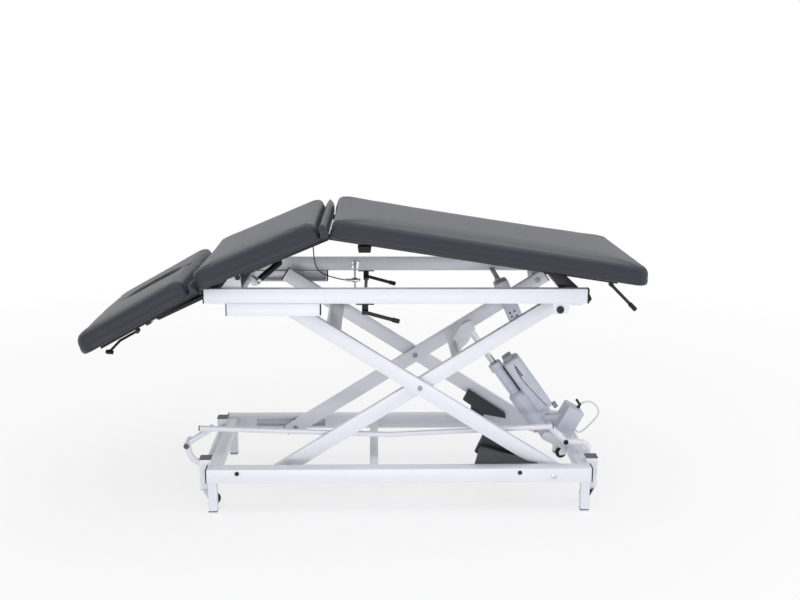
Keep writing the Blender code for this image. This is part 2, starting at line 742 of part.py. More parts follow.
def top_crosses():
    reach = TOP_INNER - GAP
    high = TOP_SURFACE - 0.002
    left = piece(
        "top_cross_left",
        box_shape(
            (TOP_CROSS_LEFT_X - TOP_CROSS_WIDTH / 2, -reach, high - TOP_CROSS_HEIGHT),
            (TOP_CROSS_LEFT_X + TOP_CROSS_WIDTH / 2, reach, high),
            0.002,
        ),
        white(),
        TOP_PIVOT,
    )
    ear = [
        (TOP_CROSS_LEFT_X + 0.006, high - TOP_CROSS_HEIGHT + 0.016),
        (TOP_CROSS_LEFT_X + 0.006, high - TOP_CROSS_HEIGHT + 0.002),
        (GAS_FOOT.x - 0.008, GAS_FOOT.z - 0.009),
        (GAS_FOOT.x + 0.008, GAS_FOOT.z - 0.009),
        (GAS_FOOT.x + 0.010, GAS_FOOT.z + 0.008),
        (TOP_CROSS_LEFT_X + TOP_CROSS_WIDTH / 2 + 0.004, high - TOP_CROSS_HEIGHT + 0.016),
    ]
    for side in (-1, 1):
        join(left, outline_shape(ear, *mirrored(side, 0.0125, 0.0175)))
    join(left, cross_rod_shape(GAS_FOOT, -0.015, 0.015, 0.004, 12))
    cross_low = TOP_CROSS_RIGHT_TOP - TOP_CROSS_RIGHT_HEIGHT
    piece(
        "top_cross_right",
        box_shape(
            (TOP_CROSS_RIGHT_X - TOP_CROSS_RIGHT_WIDTH / 2, -reach, cross_low),
            (TOP_CROSS_RIGHT_X + TOP_CROSS_RIGHT_WIDTH / 2, reach, TOP_CROSS_RIGHT_TOP),
            0.002,
        ),
        white(),
        TOP_PIVOT,
    )
    up = Vector((-math.sin(CONTROL_TILT), 0, math.cos(CONTROL_TILT)))
    top = Vector((CONTROL_X, 0, CONTROL_TOP))
    low_y, high_y = CONTROL_Y, CONTROL_Y + CONTROL_DEPTH
    control = piece(
        "control_box",
        tilted_box(
            top - up * (CONTROL_LENGTH / 2), up, CONTROL_LENGTH, CONTROL_WIDTH, low_y, high_y, 0.010
        ),
        grey(),
        TOP_PIVOT,
    )
    hanger_low = (top.x - 0.016, high_y - 0.030, top.z - 0.030)
    hanger_high = (top.x + 0.004, high_y - 0.012, top.z + 0.006)
    join(control, box_shape(hanger_low, hanger_high))
    strap_low = (top.x - 0.015, high_y - 0.029, top.z + 0.001)
    strap_high = (top.x + 0.003, reach, top.z + 0.007)
    join(control, box_shape(strap_low, strap_high))
    foot = TOP_INNER - GAP
    stop = piece(
        "cable_stop",
        box_shape(
            (CABLE_STOP.x - 0.014, foot - 0.004, CABLE_STOP.z + STOP_RISE - 0.025),
            (CABLE_STOP.x + 0.014, foot, CABLE_STOP.z + STOP_RISE + 0.004),
            0.0012,
            1,
        ),
        steel(),
        TOP_PIVOT,
    )
    rise = Vector((0, 0, STOP_RISE))
    boss = CABLE_STOP + rise - Vector((0, 0, 0.011))
    join(stop, rod_shape(boss, Vector((boss.x, foot - 0.002, boss.z)), 0.007, 14))
    join(stop, rod_shape(CABLE_STOP - rise * 0.45, CABLE_STOP + rise, 0.004, 12))
    join(stop, rod_shape(CABLE_STOP - STOP_REACH, CABLE_STOP + STOP_REACH * 0.60, 0.006, 14))
    join(stop, rod_shape(CABLE_STOP - STOP_REACH * 0.30, CABLE_STOP + STOP_REACH * 0.25, 0.0095, 16))


def gas_spring(prefix, foot, head, cylinder_length, radius, y):
    """A cylinder on the foot pin and a rod that ends in an eye round the head pin's line."""
    along = (head - foot).normalized()
    start = foot + Vector((0, y, 0))
    end = head + Vector((0, y, 0))
    cylinder = piece(
        f"{prefix}_gas_cylinder",
        rod_shape(start + along * 0.0065, start + along * cylinder_length, radius, 18),
        black(),
        foot,
        True,
    )
    join(cylinder, cross_rod_shape(foot, y - 0.0115, y + 0.0115, 0.0095, 16))
    cut(cylinder, rod_shape(start + along * 0.030, start + along * (cylinder_length + 0.02), 0.0048, 14))
    cut(cylinder, cross_rod_shape(foot, y - 0.02, y + 0.02, 0.004 + GAP, 12))
    rod = piece(
        f"{prefix}_gas_rod",
        rod_shape(start + along * (cylinder_length * 0.55), end - along * 0.004, 0.0045, 14),
        steel(),
        head,
        True,
    )
    join(rod, cross_rod_shape(head, y - 0.008, y + 0.008, 0.0085, 16))


def actuator():
    along = (ROD_EYE - REAR_PIVOT).normalized()
    across = Vector((along.z, 0, -along.x))
    housing = piece(
        "motor_housing",
        rod_shape(REAR_PIVOT + along * 0.030, REAR_PIVOT + along * 0.190, 0.030, 24),
        grey(),
        REAR_PIVOT,
        True,
    )
    motor_low = REAR_PIVOT + along * 0.085 + across * 0.058
    motor_high = REAR_PIVOT + along * 0.313 + across * 0.058
    eye = tilted_box(REAR_PIVOT + along * 0.014, along, 0.052, 0.034, -0.0165, 0.0165)
    middle = REAR_PIVOT + along * 0.125 + across * 0.030
    gearbox = tilted_box(middle, along, 0.110, 0.070, -0.026, 0.026, 0.006)
    join(housing, rod_shape(motor_low, motor_high, 0.031, 24), gearbox, eye)
    cut(housing, cross_rod_shape(REAR_PIVOT, -0.03, 0.03, 0.006 + GAP, 14))
    bore = rod_shape(REAR_PIVOT + along * 0.060, REAR_PIVOT + along * 0.210, 0.0195 + GAP, 20)
    cut(housing, bore)
    sleeve = piece(
        "actuator_tube",
        rod_shape(REAR_PIVOT + along * 0.061, REAR_PIVOT + along * 0.330, 0.0195, 20),
        grey(),
        REAR_PIVOT,
        True,
    )
    join(sleeve, rod_shape(REAR_PIVOT + along * 0.312, REAR_PIVOT + along * 0.334, 0.024, 20))
    cut(sleeve, rod_shape(REAR_PIVOT + along * 0.090, REAR_PIVOT + along * 0.380, 0.0115 + GAP, 16))
    reach = (ROD_EYE - REAR_PIVOT).length
    rod = piece(
        "actuator_rod",
        rod_shape(REAR_PIVOT + along * (reach - 0.245), ROD_EYE - along * 0.002, 0.0115, 18),
        steel(),
        ROD_EYE,
        True,
    )
    join(rod, cross_rod_shape(ROD_EYE, -0.012, 0.012, 0.0145, 18))
    box = box_shape((-0.034, -0.045, -0.050), (0.034, 0.045, 0.050), 0.007)
    turn = Matrix.Rotation(POWER_BOX_TILT, 4, "Y")
    box.transform(Matrix.Translation(POWER_BOX) @ turn)
    power = piece("power_box", box, grey(), REAR_PIVOT)
    arm = box_shape(
        (REAR_PIVOT.x - 0.022, -0.012, POWER_BOX.z - 0.004),
        (POWER_BOX.x - 0.012, 0.012, POWER_BOX.z + 0.016),
    )
    join(power, arm)
    shoulder = rod_shape(REAR_PIVOT + along * 0.020, REAR_PIVOT + along * 0.210, 0.030 + GAP, 24)
    around = 2 * GAP
    cut(power, shoulder)
    cut(power, tilted_box(middle, along, 0.110 + around, 0.070 + around, -0.026 - GAP, 0.026 + GAP))
    cut(power, rod_shape(motor_low - along * GAP, motor_high, 0.031 + GAP, 24))


def motor_clevis():
    low = BASE_MID_Z - END_TUBE / 2
    face = BASE_RIGHT - END_TUBE - GAP
    clevis = piece(
        "motor_clevis",
        box_shape((face - 0.008, -0.030, low), (face, 0.030, BASE_MID_Z + END_TUBE / 2)),
        white(),
    )
    cheek = [
        (face - 0.004, low + 0.004),
        (face - 0.004, BASE_MID_Z + END_TUBE / 2 - 0.004),
        (REAR_PIVOT.x + 0.014, REAR_PIVOT.z + 0.012),
        (REAR_PIVOT.x - 0.004, REAR_PIVOT.z + 0.014),
        (REAR_PIVOT.x - 0.015, REAR_PIVOT.z),
        (REAR_PIVOT.x - 0.010, REAR_PIVOT.z - 0.014),
    ]
    for side in (-1, 1):
        join(clevis, outline_shape(cheek, *mirrored(side, 0.0170, 0.0230)))
    join(clevis, cross_rod_shape(REAR_PIVOT, -0.020, 0.020, 0.006, 14))


def cushion_ring(length, width, corner, inset, points_each):
    """A rounded rectangle in plan, drawn in a little between its corners."""
    ring = []
    radius = max(corner - inset, 0.010)
    half_x = length / 2 - inset - radius
    half_y = width / 2 - inset - radius
    corners = ((1, 1, 0), (-1, 1, 90), (-1, -1, 180), (1, -1, 270))
    for sign_x, sign_y, start in corners:
        for step in range(points_each + 1):
            angle = math.radians(start + 90 * step / points_each)
            ring.append(
                (sign_x * half_x + radius * math.cos(angle), sign_y * half_y + radius * math.sin(angle))
            )
        next_x = -sign_x if start in (0, 180) else sign_x
        next_y = sign_y if start in (0, 180) else -sign_y
        ahead = math.radians(start + 90)
        outward = Vector((math.cos(ahead), math.sin(ahead)))
        inward = -outward
        here = Vector((sign_x * half_x, sign_y * half_y)) + outward * radius
        there = Vector((next_x * half_x, next_y * half_y)) + outward * radius
        for share in (0.25, 0.5, 0.75):
            pull = CUSHION_DRAW * 4 * share * (1 - share)
            point = here.lerp(there, share) + inward * pull
            ring.append((point.x, point.y))
    return ring


def cushion_shape(length):
    """A crowned cushion with its underside at Z = 0 and its middle at the origin."""
    crown = CUSHION_CROWN
    edge = CUSHION_THICKNESS - crown
    rings = [
        (0.004, 0.0),
        (0.0, 0.006),
        (0.0, edge - 0.018),
        (0.003, edge - 0.008),
        (0.009, edge - 0.002),
        (0.018, edge),
        (0.075, edge + crown * 0.55),
        (0.150, edge + crown),
    ]
    shape = bmesh.new()
    loops = []
    for inset, height in rings:
        outline = cushion_ring(length, SECTION_WIDTH, CUSHION_CORNER, inset, 4)
        loop = [shape.verts.new((x, y, height)) for x, y in outline]
        edges = [shape.edges.new((a, b)) for a, b in zip(loop, loop[1:] + loop[:1])]
        loops.append((loop, edges))
    for (_, below), (_, above) in zip(loops, loops[1:]):
        bmesh.ops.bridge_loops(shape, edges=below + above)
    for loop in (loops[0][0], loops[-1][0]):
        bmesh.ops.contextual_create(shape, geom=loop)
    return shape


def seat(shape, start, along, above, offset, length):
    """Places a cushion whose underside starts at a distance along from a hinge."""
    middle = start + along * (offset + length / 2) + above * HINGE_DROP
    angle = math.atan2(-above.x, above.z)
    shape.transform(Matrix.Translation(middle) @ Matrix.Rotation(-angle, 4, "Y"))
    return shape


def cushions():
    piece(
        "mid_cushion",
        seat(cushion_shape(MID_LENGTH), PEAK, -ALONG_MID, ABOVE_MID, PEAK_END_GAP, MID_LENGTH),
        vinyl(),
        LUG_PIN,
        True,
    )
    piece(
        "long_cushion",
        seat(cushion_shape(LONG_LENGTH), PEAK, ALONG_LONG, ABOVE_LONG, LONG_END_GAP, LONG_LENGTH),
        vinyl(),
        PEAK,
        True,
    )
    head_shape = cushion_shape(HEAD_LENGTH)
    head = piece(
        "head_cushion",
        seat(head_shape, HEAD_HINGE, -ALONG_HEAD, ABOVE_HEAD, HEAD_HINGE_TO_HEAD, HEAD_LENGTH),
        vinyl(),
        HEAD_HINGE,
        True,
    )
    half = FACE_SLOT_LENGTH / 2 - FACE_SLOT_WIDTH / 2
    outline = []
    for centre, start in ((half, -90), (-half, 90)):
        for step in range(9):
            angle = math.radians(start + step * 22.5)
            x = centre + FACE_SLOT_WIDTH / 2 * math.cos(angle)
            outline.append((x, FACE_SLOT_WIDTH / 2 * math.sin(angle)))
    slot = filled_shape(outline, 4 * CUSHION_THICKNESS, Matrix.Identity(4))
    offset = HEAD_HINGE_TO_HEAD + FACE_SLOT_FROM_END
    cut(head, seat(slot, HEAD_HINGE, -ALONG_HEAD, ABOVE_HEAD, offset, FACE_SLOT_LENGTH))


def bar(start, along, above, first, last, low_y, high_y, trim=0.0):
    """A frame bar under a section, between two distances along from a hinge, trimmed top and bottom."""
    centre = start + along * ((first + last) / 2) + above * (HINGE_DROP - GAP - BAR_HEIGHT / 2)
    return tilted_box(centre, along, last - first, BAR_HEIGHT - 2 * trim, low_y, high_y)


def section_frames():
    mid_reach = PEAK_END_GAP + MID_LENGTH + HEAD_HINGE_TO_MID
    inner = BAR_IN + 0.004
    mid = piece(
        "mid_frame",
        bar(PEAK, -ALONG_MID, ABOVE_MID, 0.150, 0.180, -inner, inner, 0.001),
        black(),
        LUG_PIN,
    )
    join(mid, bar(PEAK, -ALONG_MID, ABOVE_MID, mid_reach - 0.055, mid_reach - 0.025, -inner, inner, 0.001))
    for side in (-1, 1):
        low_y, high_y = mirrored(side, BAR_IN, BAR_OUT)
        join(mid, bar(PEAK, -ALONG_MID, ABOVE_MID, 0.0, mid_reach, low_y, high_y))
        low_y, high_y = mirrored(side, BAR_IN + 0.0005, BAR_OUT - 0.0005)
        for pin, radius in ((PEAK, BAR_BOSS_RADIUS), (HEAD_HINGE, BAR_BOSS_RADIUS), (LUG_PIN, 0.0105)):
            join(mid, cross_rod_shape(pin, low_y, high_y, radius, 20))
    ear_tops = (
        (GAS_HEAD, 0.0088, 0.0138, 0.034, 0.0),
        (HEAD_GAS_FOOT, 0.0122, 0.0172, 0.036, HEAD_SPRING_Y),
    )
    for pin, near_y, far_y, rise, y in ear_tops:
        top = pin + ABOVE_MID * rise
        foot = pin - ABOVE_MID * 0.009
        aside = ALONG_MID * 0.010
        ear = [foot - aside, foot + aside, top + aside, top - aside]
        for side in (-1, 1):
            low_y, high_y = mirrored(side, near_y, far_y)
            join(mid, outline_shape([(p.x, p.z) for p in ear], y + low_y, y + high_y))
    join(mid, cross_rod_shape(HEAD_GAS_FOOT, HEAD_SPRING_Y - 0.014, HEAD_SPRING_Y + 0.014, 0.004, 12))
    for side in (-1, 1):
        low_y, high_y = mirrored(side, BAR_IN - 0.01, BAR_OUT + 0.01)
        for pin in (LUG_PIN, PEAK, HEAD_HINGE):
            cut(mid, cross_rod_shape(pin, low_y, high_y, BAR_PIN_RADIUS + GAP, 16))

    inside = INNER_BAR_IN + 0.004
    long = piece(
        "long_frame",
        bar(PEAK, ALONG_LONG, ABOVE_LONG, 0.120, 0.150, -inside, inside, 0.001),
        black(),
        PEAK,
    )
    join(long, bar(PEAK, ALONG_LONG, ABOVE_LONG, 0.930, 0.960, -inside, inside, 0.001))
    strut_foot = SLIDE_PIN + Vector((0.012, 0, -0.014))
    strut = [
        (SLIDE_PIN.x - 0.075, 0.8395),
        (SLIDE_PIN.x - 0.0135, 0.830),
        (SLIDE_PIN.x + 0.030, 0.790),
        (strut_foot.x + 0.008, strut_foot.z + 0.010),
        (strut_foot.x - 0.006, strut_foot.z),
        (SLIDE_PIN.x - 0.012, SLIDE_PIN.z - 0.006),
    ]
    strut_out = TOP_INNER - 0.0035
    for side in (-1, 1):
        low_y, high_y = mirrored(side, INNER_BAR_IN, INNER_BAR_OUT)
        join(long, bar(PEAK, ALONG_LONG, ABOVE_LONG, 0.0, 0.985, low_y, high_y))
        low_y, high_y = mirrored(side, INNER_BAR_IN + 0.0005, INNER_BAR_OUT - 0.0005)
        join(long, cross_rod_shape(PEAK, low_y, high_y, BAR_BOSS_RADIUS, 20))
        low_y, high_y = mirrored(side, INNER_BAR_OUT - 0.004, strut_out - 0.001)
        join(long, bar(PEAK, ALONG_LONG, ABOVE_LONG, 0.735, 0.800, low_y, high_y, 0.0005))
        low_y, high_y = mirrored(side, strut_out - STRUT_THICKNESS, strut_out)
        join(long, outline_shape(strut, low_y, high_y))
        low_y, high_y = mirrored(side, strut_out - 0.004, TOP_INNER + SLIDE_SLOT_DEPTH - 0.002)
        join(long, cross_rod_shape(SLIDE_PIN, low_y, high_y, SLIDE_PIN_RADIUS, 18))
        low_y, high_y = mirrored(side, INNER_BAR_OUT - 0.006, BAR_OUT - 0.002)
        join(long, cross_rod_shape(PEAK, low_y, high_y, BAR_PIN_RADIUS, 16))

    head = piece(
        "head_frame",
        bar(HEAD_HINGE, -ALONG_HEAD, ABOVE_HEAD, 0.335, 0.365, -inside, inside, 0.001),
        black(),
        HEAD_HINGE,
    )
    for side in (-1, 1):
        low_y, high_y = mirrored(side, INNER_BAR_IN, INNER_BAR_OUT)
        join(head, bar(HEAD_HINGE, -ALONG_HEAD, ABOVE_HEAD, 0.0, 0.400, low_y, high_y))
        low_y, high_y = mirrored(side, INNER_BAR_IN + 0.0005, INNER_BAR_OUT - 0.0005)
        join(head, cross_rod_shape(HEAD_HINGE, low_y, high_y, BAR_BOSS_RADIUS, 20))
        low_y, high_y = mirrored(side, INNER_BAR_OUT - 0.006, BAR_OUT - 0.002)
        join(head, cross_rod_shape(HEAD_HINGE, low_y, high_y, BAR_PIN_RADIUS, 16))
    top = HEAD_GAS_HEAD + ABOVE_HEAD * 0.025
    foot = HEAD_GAS_HEAD - ABOVE_HEAD * 0.009
    aside = ALONG_HEAD * 0.010
    ear = [(p.x, p.z) for p in (foot - aside, foot + aside, top + aside, top - aside)]
    for side in (-1, 1):
        low_y, high_y = mirrored(side, 0.0088, 0.0138)
        low_y, high_y = HEAD_SPRING_Y + low_y, HEAD_SPRING_Y + high_y
        join(head, bar(HEAD_HINGE, -ALONG_HEAD, ABOVE_HEAD, 0.210, 0.345, low_y, high_y, 0.002))
        join(head, outline_shape(ear, low_y, high_y))


def release_levers():
    shaft = LEVER_SHAFT
    for name, side in SIDES:
        middle = side * (HALF_WIDTH - TOP_TUBE_DEPTH / 2)
        bracket = piece(
            f"lever_bracket_{name}",
            box_shape(
                (shaft.x - 0.030, middle - 0.012, TOP_UNDERSIDE - GAP - 0.004),
                (shaft.x + 0.030, middle + 0.012, TOP_UNDERSIDE - GAP),
            ),
            black(),
            TOP_PIVOT,
        )
        join(
            bracket,
            box_shape(
                (shaft.x - 0.0105, middle - 0.011, shaft.z - 0.010),
                (shaft.x + 0.0105, middle + 0.011, TOP_UNDERSIDE - 0.002),
            ),
        )
        cut(bracket, cross_rod_shape(shaft, middle - 0.03, middle + 0.03, 0.006 + GAP, 14))
    reach = HALF_WIDTH + 0.002
    lever = piece(
        "release_lever", cross_rod_shape(shaft, -reach, reach, 0.006, 14), black(), shaft, True
    )
    for side in (-1, 1):
        y = side * (HALF_WIDTH + 0.004)
        hand = [
            Vector((shaft.x, y, shaft.z)),
            Vector((shaft.x + 0.110, y, shaft.z - 0.030)),
        ]
        join(lever, rod_shape(hand[0] - (hand[1] - hand[0]) * 0.06, hand[1], 0.0065, 12))
    crank = [
        (shaft.x - 0.0075, shaft.z + 0.006),
        (shaft.x - 0.003, shaft.z - 0.040),
        (shaft.x + 0.004, shaft.z - 0.040),
        (shaft.x + 0.0075, shaft.z + 0.006),
    ]
    join(lever, outline_shape(crank, CABLE_Y - 0.003, CABLE_Y + 0.003))


def section_levers():
    y = -(INNER_BAR_OUT + INNER_BAR_IN) / 2
    down = Vector((-math.cos(math.radians(46)), 0, -math.sin(math.radians(46))))
    start = Vector((HEAD_LEVER.x, y, HEAD_LEVER.z))
    elbow = start - ALONG_HEAD * 0.070
    head = piece(
        "head_lever",
        cross_rod_shape(HEAD_LEVER, y - 0.012, y + 0.012, 0.0075, 14),
        black(),
        HEAD_LEVER,
        True,
    )
    join(head, tube_shape([start, elbow, elbow + down * 0.055], 0.0045))
    end = piece(
        "end_lever", cross_rod_shape(END_LEVER, y - 0.012, y + 0.012, 0.0075, 14), black(), END_LEVER, True
    )
    start = Vector((END_LEVER.x, y, END_LEVER.z))
    slope = Vector((math.cos(math.radians(45)), 0, -math.sin(math.radians(45))))
    join(end, rod_shape(start, start + slope * 0.122, 0.0055, 12))


def foot_control():
    half = POST_Y - POST_WIDTH / 2 - GAP - 0.0005
    pedal_y = abs(FOOT_RAIL_Y) - RAIL_TUBE_RADIUS - RUNNING_GAP - PEDAL_TUBE_RADIUS
    left_bar = Vector((PEDAL_LEFT.x - 0.072, 0, PEDAL_LEFT.z + 0.066))
    right_bend = Vector((PEDAL_RIGHT.x + 0.002, 0, PEDAL_RIGHT.z + 0.045))
    left_link = Vector((PEDAL_LEFT.x + 0.0203, 0, PEDAL_LEFT.z + 0.127))
    right_link = Vector((PEDAL_RIGHT.x - 0.146, 0, PEDAL_RIGHT.z + 0.131))
    left_route = [
        PEDAL_LEFT,
        Vector((PEDAL_LEFT.x - 0.032, 0, PEDAL_LEFT.z - 0.006)),
        Vector((PEDAL_LEFT.x - 0.054, 0, PEDAL_LEFT.z + 0.006)),
        Vector((PEDAL_LEFT.x - 0.069, 0, PEDAL_LEFT.z + 0.032)),
        left_bar,
        left_link,
    ]
    right_route = [
        PEDAL_RIGHT,
        right_bend,
        Vector((PEDAL_RIGHT.x - 0.006, 0, PEDAL_RIGHT.z + 0.057)),
        Vector((PEDAL_RIGHT.x - 0.020, 0, PEDAL_RIGHT.z + 0.064)),
        Vector((PEDAL_RIGHT.x - 0.080, 0, PEDAL_RIGHT.z + 0.069)),
        right_link,
    ]
    for name, hub, bar_place, route in (
        ("left", PEDAL_LEFT, left_bar, left_route),
        ("right", PEDAL_RIGHT, None, right_route),
    ):
        pedal = piece(
            f"pedal_{name}", cross_rod_shape(hub, -half, half, TORQUE_TUBE_RADIUS, 18), white(), hub, True
        )
        if bar_place:
            join(pedal, cross_rod_shape(bar_place, -0.190, -0.118, PEDAL_BAR_RADIUS, 16))
        for side in (-1,) if bar_place else (-1, 1):
            points = [Vector((p.x, side * pedal_y, p.z)) for p in route]
            join(pedal, tube_shape(points, PEDAL_TUBE_RADIUS))
    rail_left = left_link + Vector((-0.045, 0, 0.002))
    rail_right = right_link + Vector((0.014, 0, 0.001))
    dip = Vector(((rail_left.x + rail_right.x) / 2 + 0.045, 0, rail_left.z - 0.025))
    route = [Vector((p.x, FOOT_RAIL_Y, p.z)) for p in (rail_left, dip, rail_right)]
    piece("foot_rail", tube_shape(route, RAIL_TUBE_RADIUS), white(), PEDAL_LEFT, True)


def on_power_box(x, z, y):
    """A point given in the power box's own tilted directions."""
    turn = Matrix.Rotation(POWER_BOX_TILT, 4, "Y")
    return POWER_BOX + turn @ Vector((x, y, z))


def cables():
    under = BAR_HEIGHT - HINGE_DROP + 2 * GAP
    start = PEAK - ALONG_MID * 0.098 - ABOVE_MID * under
    ahead = start - ABOVE_MID * 0.0137
    low = CABLE_STOP - STOP_REACH - Vector((GAP, 0, 0))
    steps = (
        (-0.1260, 0.1531),
        (-0.1233, 0.1231),
        (-0.1205, 0.0852),
        (-0.1150, 0.0581),
        (-0.1035, 0.0371),
        (-0.0835, 0.0226),
        (-0.0529, 0.0117),
        (-0.0225, 0.0039),
    )
    route = [Vector((start.x, CABLE_Y, start.z)), Vector((ahead.x, CABLE_Y, ahead.z))]
    route += [low + Vector((x, 0, z)) for x, z in steps]
    route.append(low)
    holder = tube_curve(smooth_route(route, 4), CABLE_RADIUS, 2)
    holder.name = "release_cable"
    holder.data.materials.append(black())
    bpy.context.scene.collection.objects.unlink(holder)
    TABLE.objects.link(holder)
    loop = [
        on_power_box(0.014, 0.0507, 0.004),
        on_power_box(0.014, 0.066, 0.004),
        POWER_BOX + Vector((0.076, 0.002, 0.062)),
        POWER_BOX + Vector((0.106, -0.002, 0.042)),
        POWER_BOX + Vector((0.106, -0.006, 0.008)),
        on_power_box(0.066, -0.022, -0.010),
        on_power_box(0.0347, -0.022, -0.010),
    ]
    holder = tube_curve(smooth_route(loop, 4), 0.003, 2)
    holder.name = "motor_cable"
    holder.data.materials.append(grey())
    bpy.context.scene.collection.objects.unlink(holder)
    TABLE.objects.link(holder)


base_tubes()
base_ends()
castors()
guards()
motor_clevis()
foot_control()
outer_arms()
inner_arms()
rollers()
actuator()
top_tubes()
roller_rails()
top_crosses()
release_levers()
gas_spring("pivot", GAS_FOOT, GAS_HEAD, 0.115, 0.012, 0.0)
cushions()
section_frames()
gas_spring("head", HEAD_GAS_FOOT, HEAD_GAS_HEAD, 0.255, 0.011, HEAD_SPRING_Y)
section_levers()
cables()
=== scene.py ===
"""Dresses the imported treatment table: upholstery, trim, cables, fasteners, materials and a pale studio.

Everything is in metres in the part's own frame. +X runs from the head end to the foot end, and -Y is
the near side.
"""

import json
import math
from contextlib import contextmanager

import bpy
from mathutils import Matrix, Vector

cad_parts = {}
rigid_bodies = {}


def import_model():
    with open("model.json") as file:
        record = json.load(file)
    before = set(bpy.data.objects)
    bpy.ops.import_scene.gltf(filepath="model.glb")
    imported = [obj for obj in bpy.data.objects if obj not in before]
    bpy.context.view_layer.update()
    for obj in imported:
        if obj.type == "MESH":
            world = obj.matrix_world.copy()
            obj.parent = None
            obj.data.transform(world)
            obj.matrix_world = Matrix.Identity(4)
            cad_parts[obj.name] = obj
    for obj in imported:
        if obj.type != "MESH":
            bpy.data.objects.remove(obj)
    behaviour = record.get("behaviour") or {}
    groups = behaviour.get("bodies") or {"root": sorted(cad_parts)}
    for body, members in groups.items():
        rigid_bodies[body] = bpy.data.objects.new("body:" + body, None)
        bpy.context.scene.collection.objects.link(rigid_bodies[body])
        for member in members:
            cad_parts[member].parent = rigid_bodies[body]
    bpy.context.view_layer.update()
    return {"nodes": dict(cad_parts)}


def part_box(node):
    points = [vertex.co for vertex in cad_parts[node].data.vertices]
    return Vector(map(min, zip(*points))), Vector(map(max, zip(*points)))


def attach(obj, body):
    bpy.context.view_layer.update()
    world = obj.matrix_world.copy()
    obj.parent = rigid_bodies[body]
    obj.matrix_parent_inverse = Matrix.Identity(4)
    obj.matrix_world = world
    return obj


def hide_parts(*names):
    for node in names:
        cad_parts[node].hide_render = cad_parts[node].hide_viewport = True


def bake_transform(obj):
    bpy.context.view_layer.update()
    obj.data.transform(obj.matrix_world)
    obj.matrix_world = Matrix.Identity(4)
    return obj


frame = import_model()

bl_info = {
    "name": "Treatment table looks",
    "version": (1, 0, 0),
    "blender": (4, 5, 0),
    "location": "3D View > Sidebar > Treatment table",
    "description": "Dresses the packed treatment table with upholstery, trim, cables and a studio",
    "category": "Object",
}

# The near side, then the far side
SIDES = (-1, 1)

# The frame's tubes as the part's source places them: both ends in X, the middle in Y and the height
TOP_ENDS, TOP_Y, TOP_Z = (-0.519, 0.747), 0.298, 0.765
RAIL_ENDS, RAIL_Y, RAIL_Z = (-0.445, -0.139), 0.293, 0.7194
BASE_ENDS, BASE_Y, BASE_Z = (-0.531, 0.787), 0.288, 0.138
LEGS, POSTS, POST_Y, POST_TOP = (-0.513, 0.769), (-0.544, 0.800), 0.223, 0.173

# The scissor arms: their pivots and crossing, the length between pivots and what stands past each pivot
ARM_RIGHT, ARM_LEFT, ARM_TOP = 0.657, -0.26257, 0.7195
CROSS_X, CROSS_Z = 0.19722, 0.42875
ARM_RISE, ARM_LENGTH, ARM_PAST = 0.5815, 1.088, 0.034

# Slope of the head section
HEAD_TILT = math.radians(29.4)

# Each castor: its axle's place and how far the fork has turned
AXLE_Z = 0.0245
CASTORS = (
    ("near_left", -0.518, -0.223, 0), ("far_left", -0.570, 0.223, 180),
    ("near_right", 0.787, -0.20048, -60), ("far_right", 0.774, 0.223, 0))

# The cables' routes, as the part's source lays them; the release cable keeps to one plane
RELEASE_Y = 0.262
RELEASE_ROUTE = (
    (-0.20184, 0.90629), (-0.19649, 0.89368), (-0.1921, 0.8600), (-0.1894, 0.8300), (-0.1866, 0.7921),
    (-0.1811, 0.7650), (-0.1696, 0.7440), (-0.1496, 0.7295), (-0.1190, 0.7186), (-0.0886, 0.7108),
    (-0.0661, 0.7069))
MOTOR_ROUTE = (
    (0.7922, 0.004, 0.2782), (0.7994, 0.004, 0.2917), (0.832, 0.002, 0.302), (0.862, -0.002, 0.282),
    (0.862, -0.006, 0.248), (0.8039, -0.010, 0.1896), (0.7763, -0.010, 0.2043))

# How a cushion's edges roll: the sides' top radius, then for the head and the foot end the radius at
# the top, at the bottom and of the corner in plan. Last, the radius at the bottom of the sides and of
# the part's own corners in plan.
PAD_EDGES = {
    "mid_pad": (0.020, (0.022, 0.022), (0.008, 0.008), (0.035, 0.035)),
    "long_pad": (0.020, (0.022, 0.042), (0.008, 0.012), (0.035, 0.045)),
    "head_pad": (0.026, (0.044, 0.022), (0.012, 0.008), (0.055, 0.035)),
}
PAD_FOOT = 0.008
PAD_CORNER = 0.035

# The cushions' simulation: its length, the height of the part that the board holds, and the cloth
SIM_FRAMES = 20
PINNED = 0.026
CLOTH = {
    "use_pressure": True, "uniform_pressure_force": 4.0, "vertex_group_mass": "board", "quality": 5,
    "tension_stiffness": 40, "compression_stiffness": 40, "bending_stiffness": 2, "shrink_min": -0.006,
}

# Edges that turn by more than this stay sharp in shading
CREASE = math.radians(35)


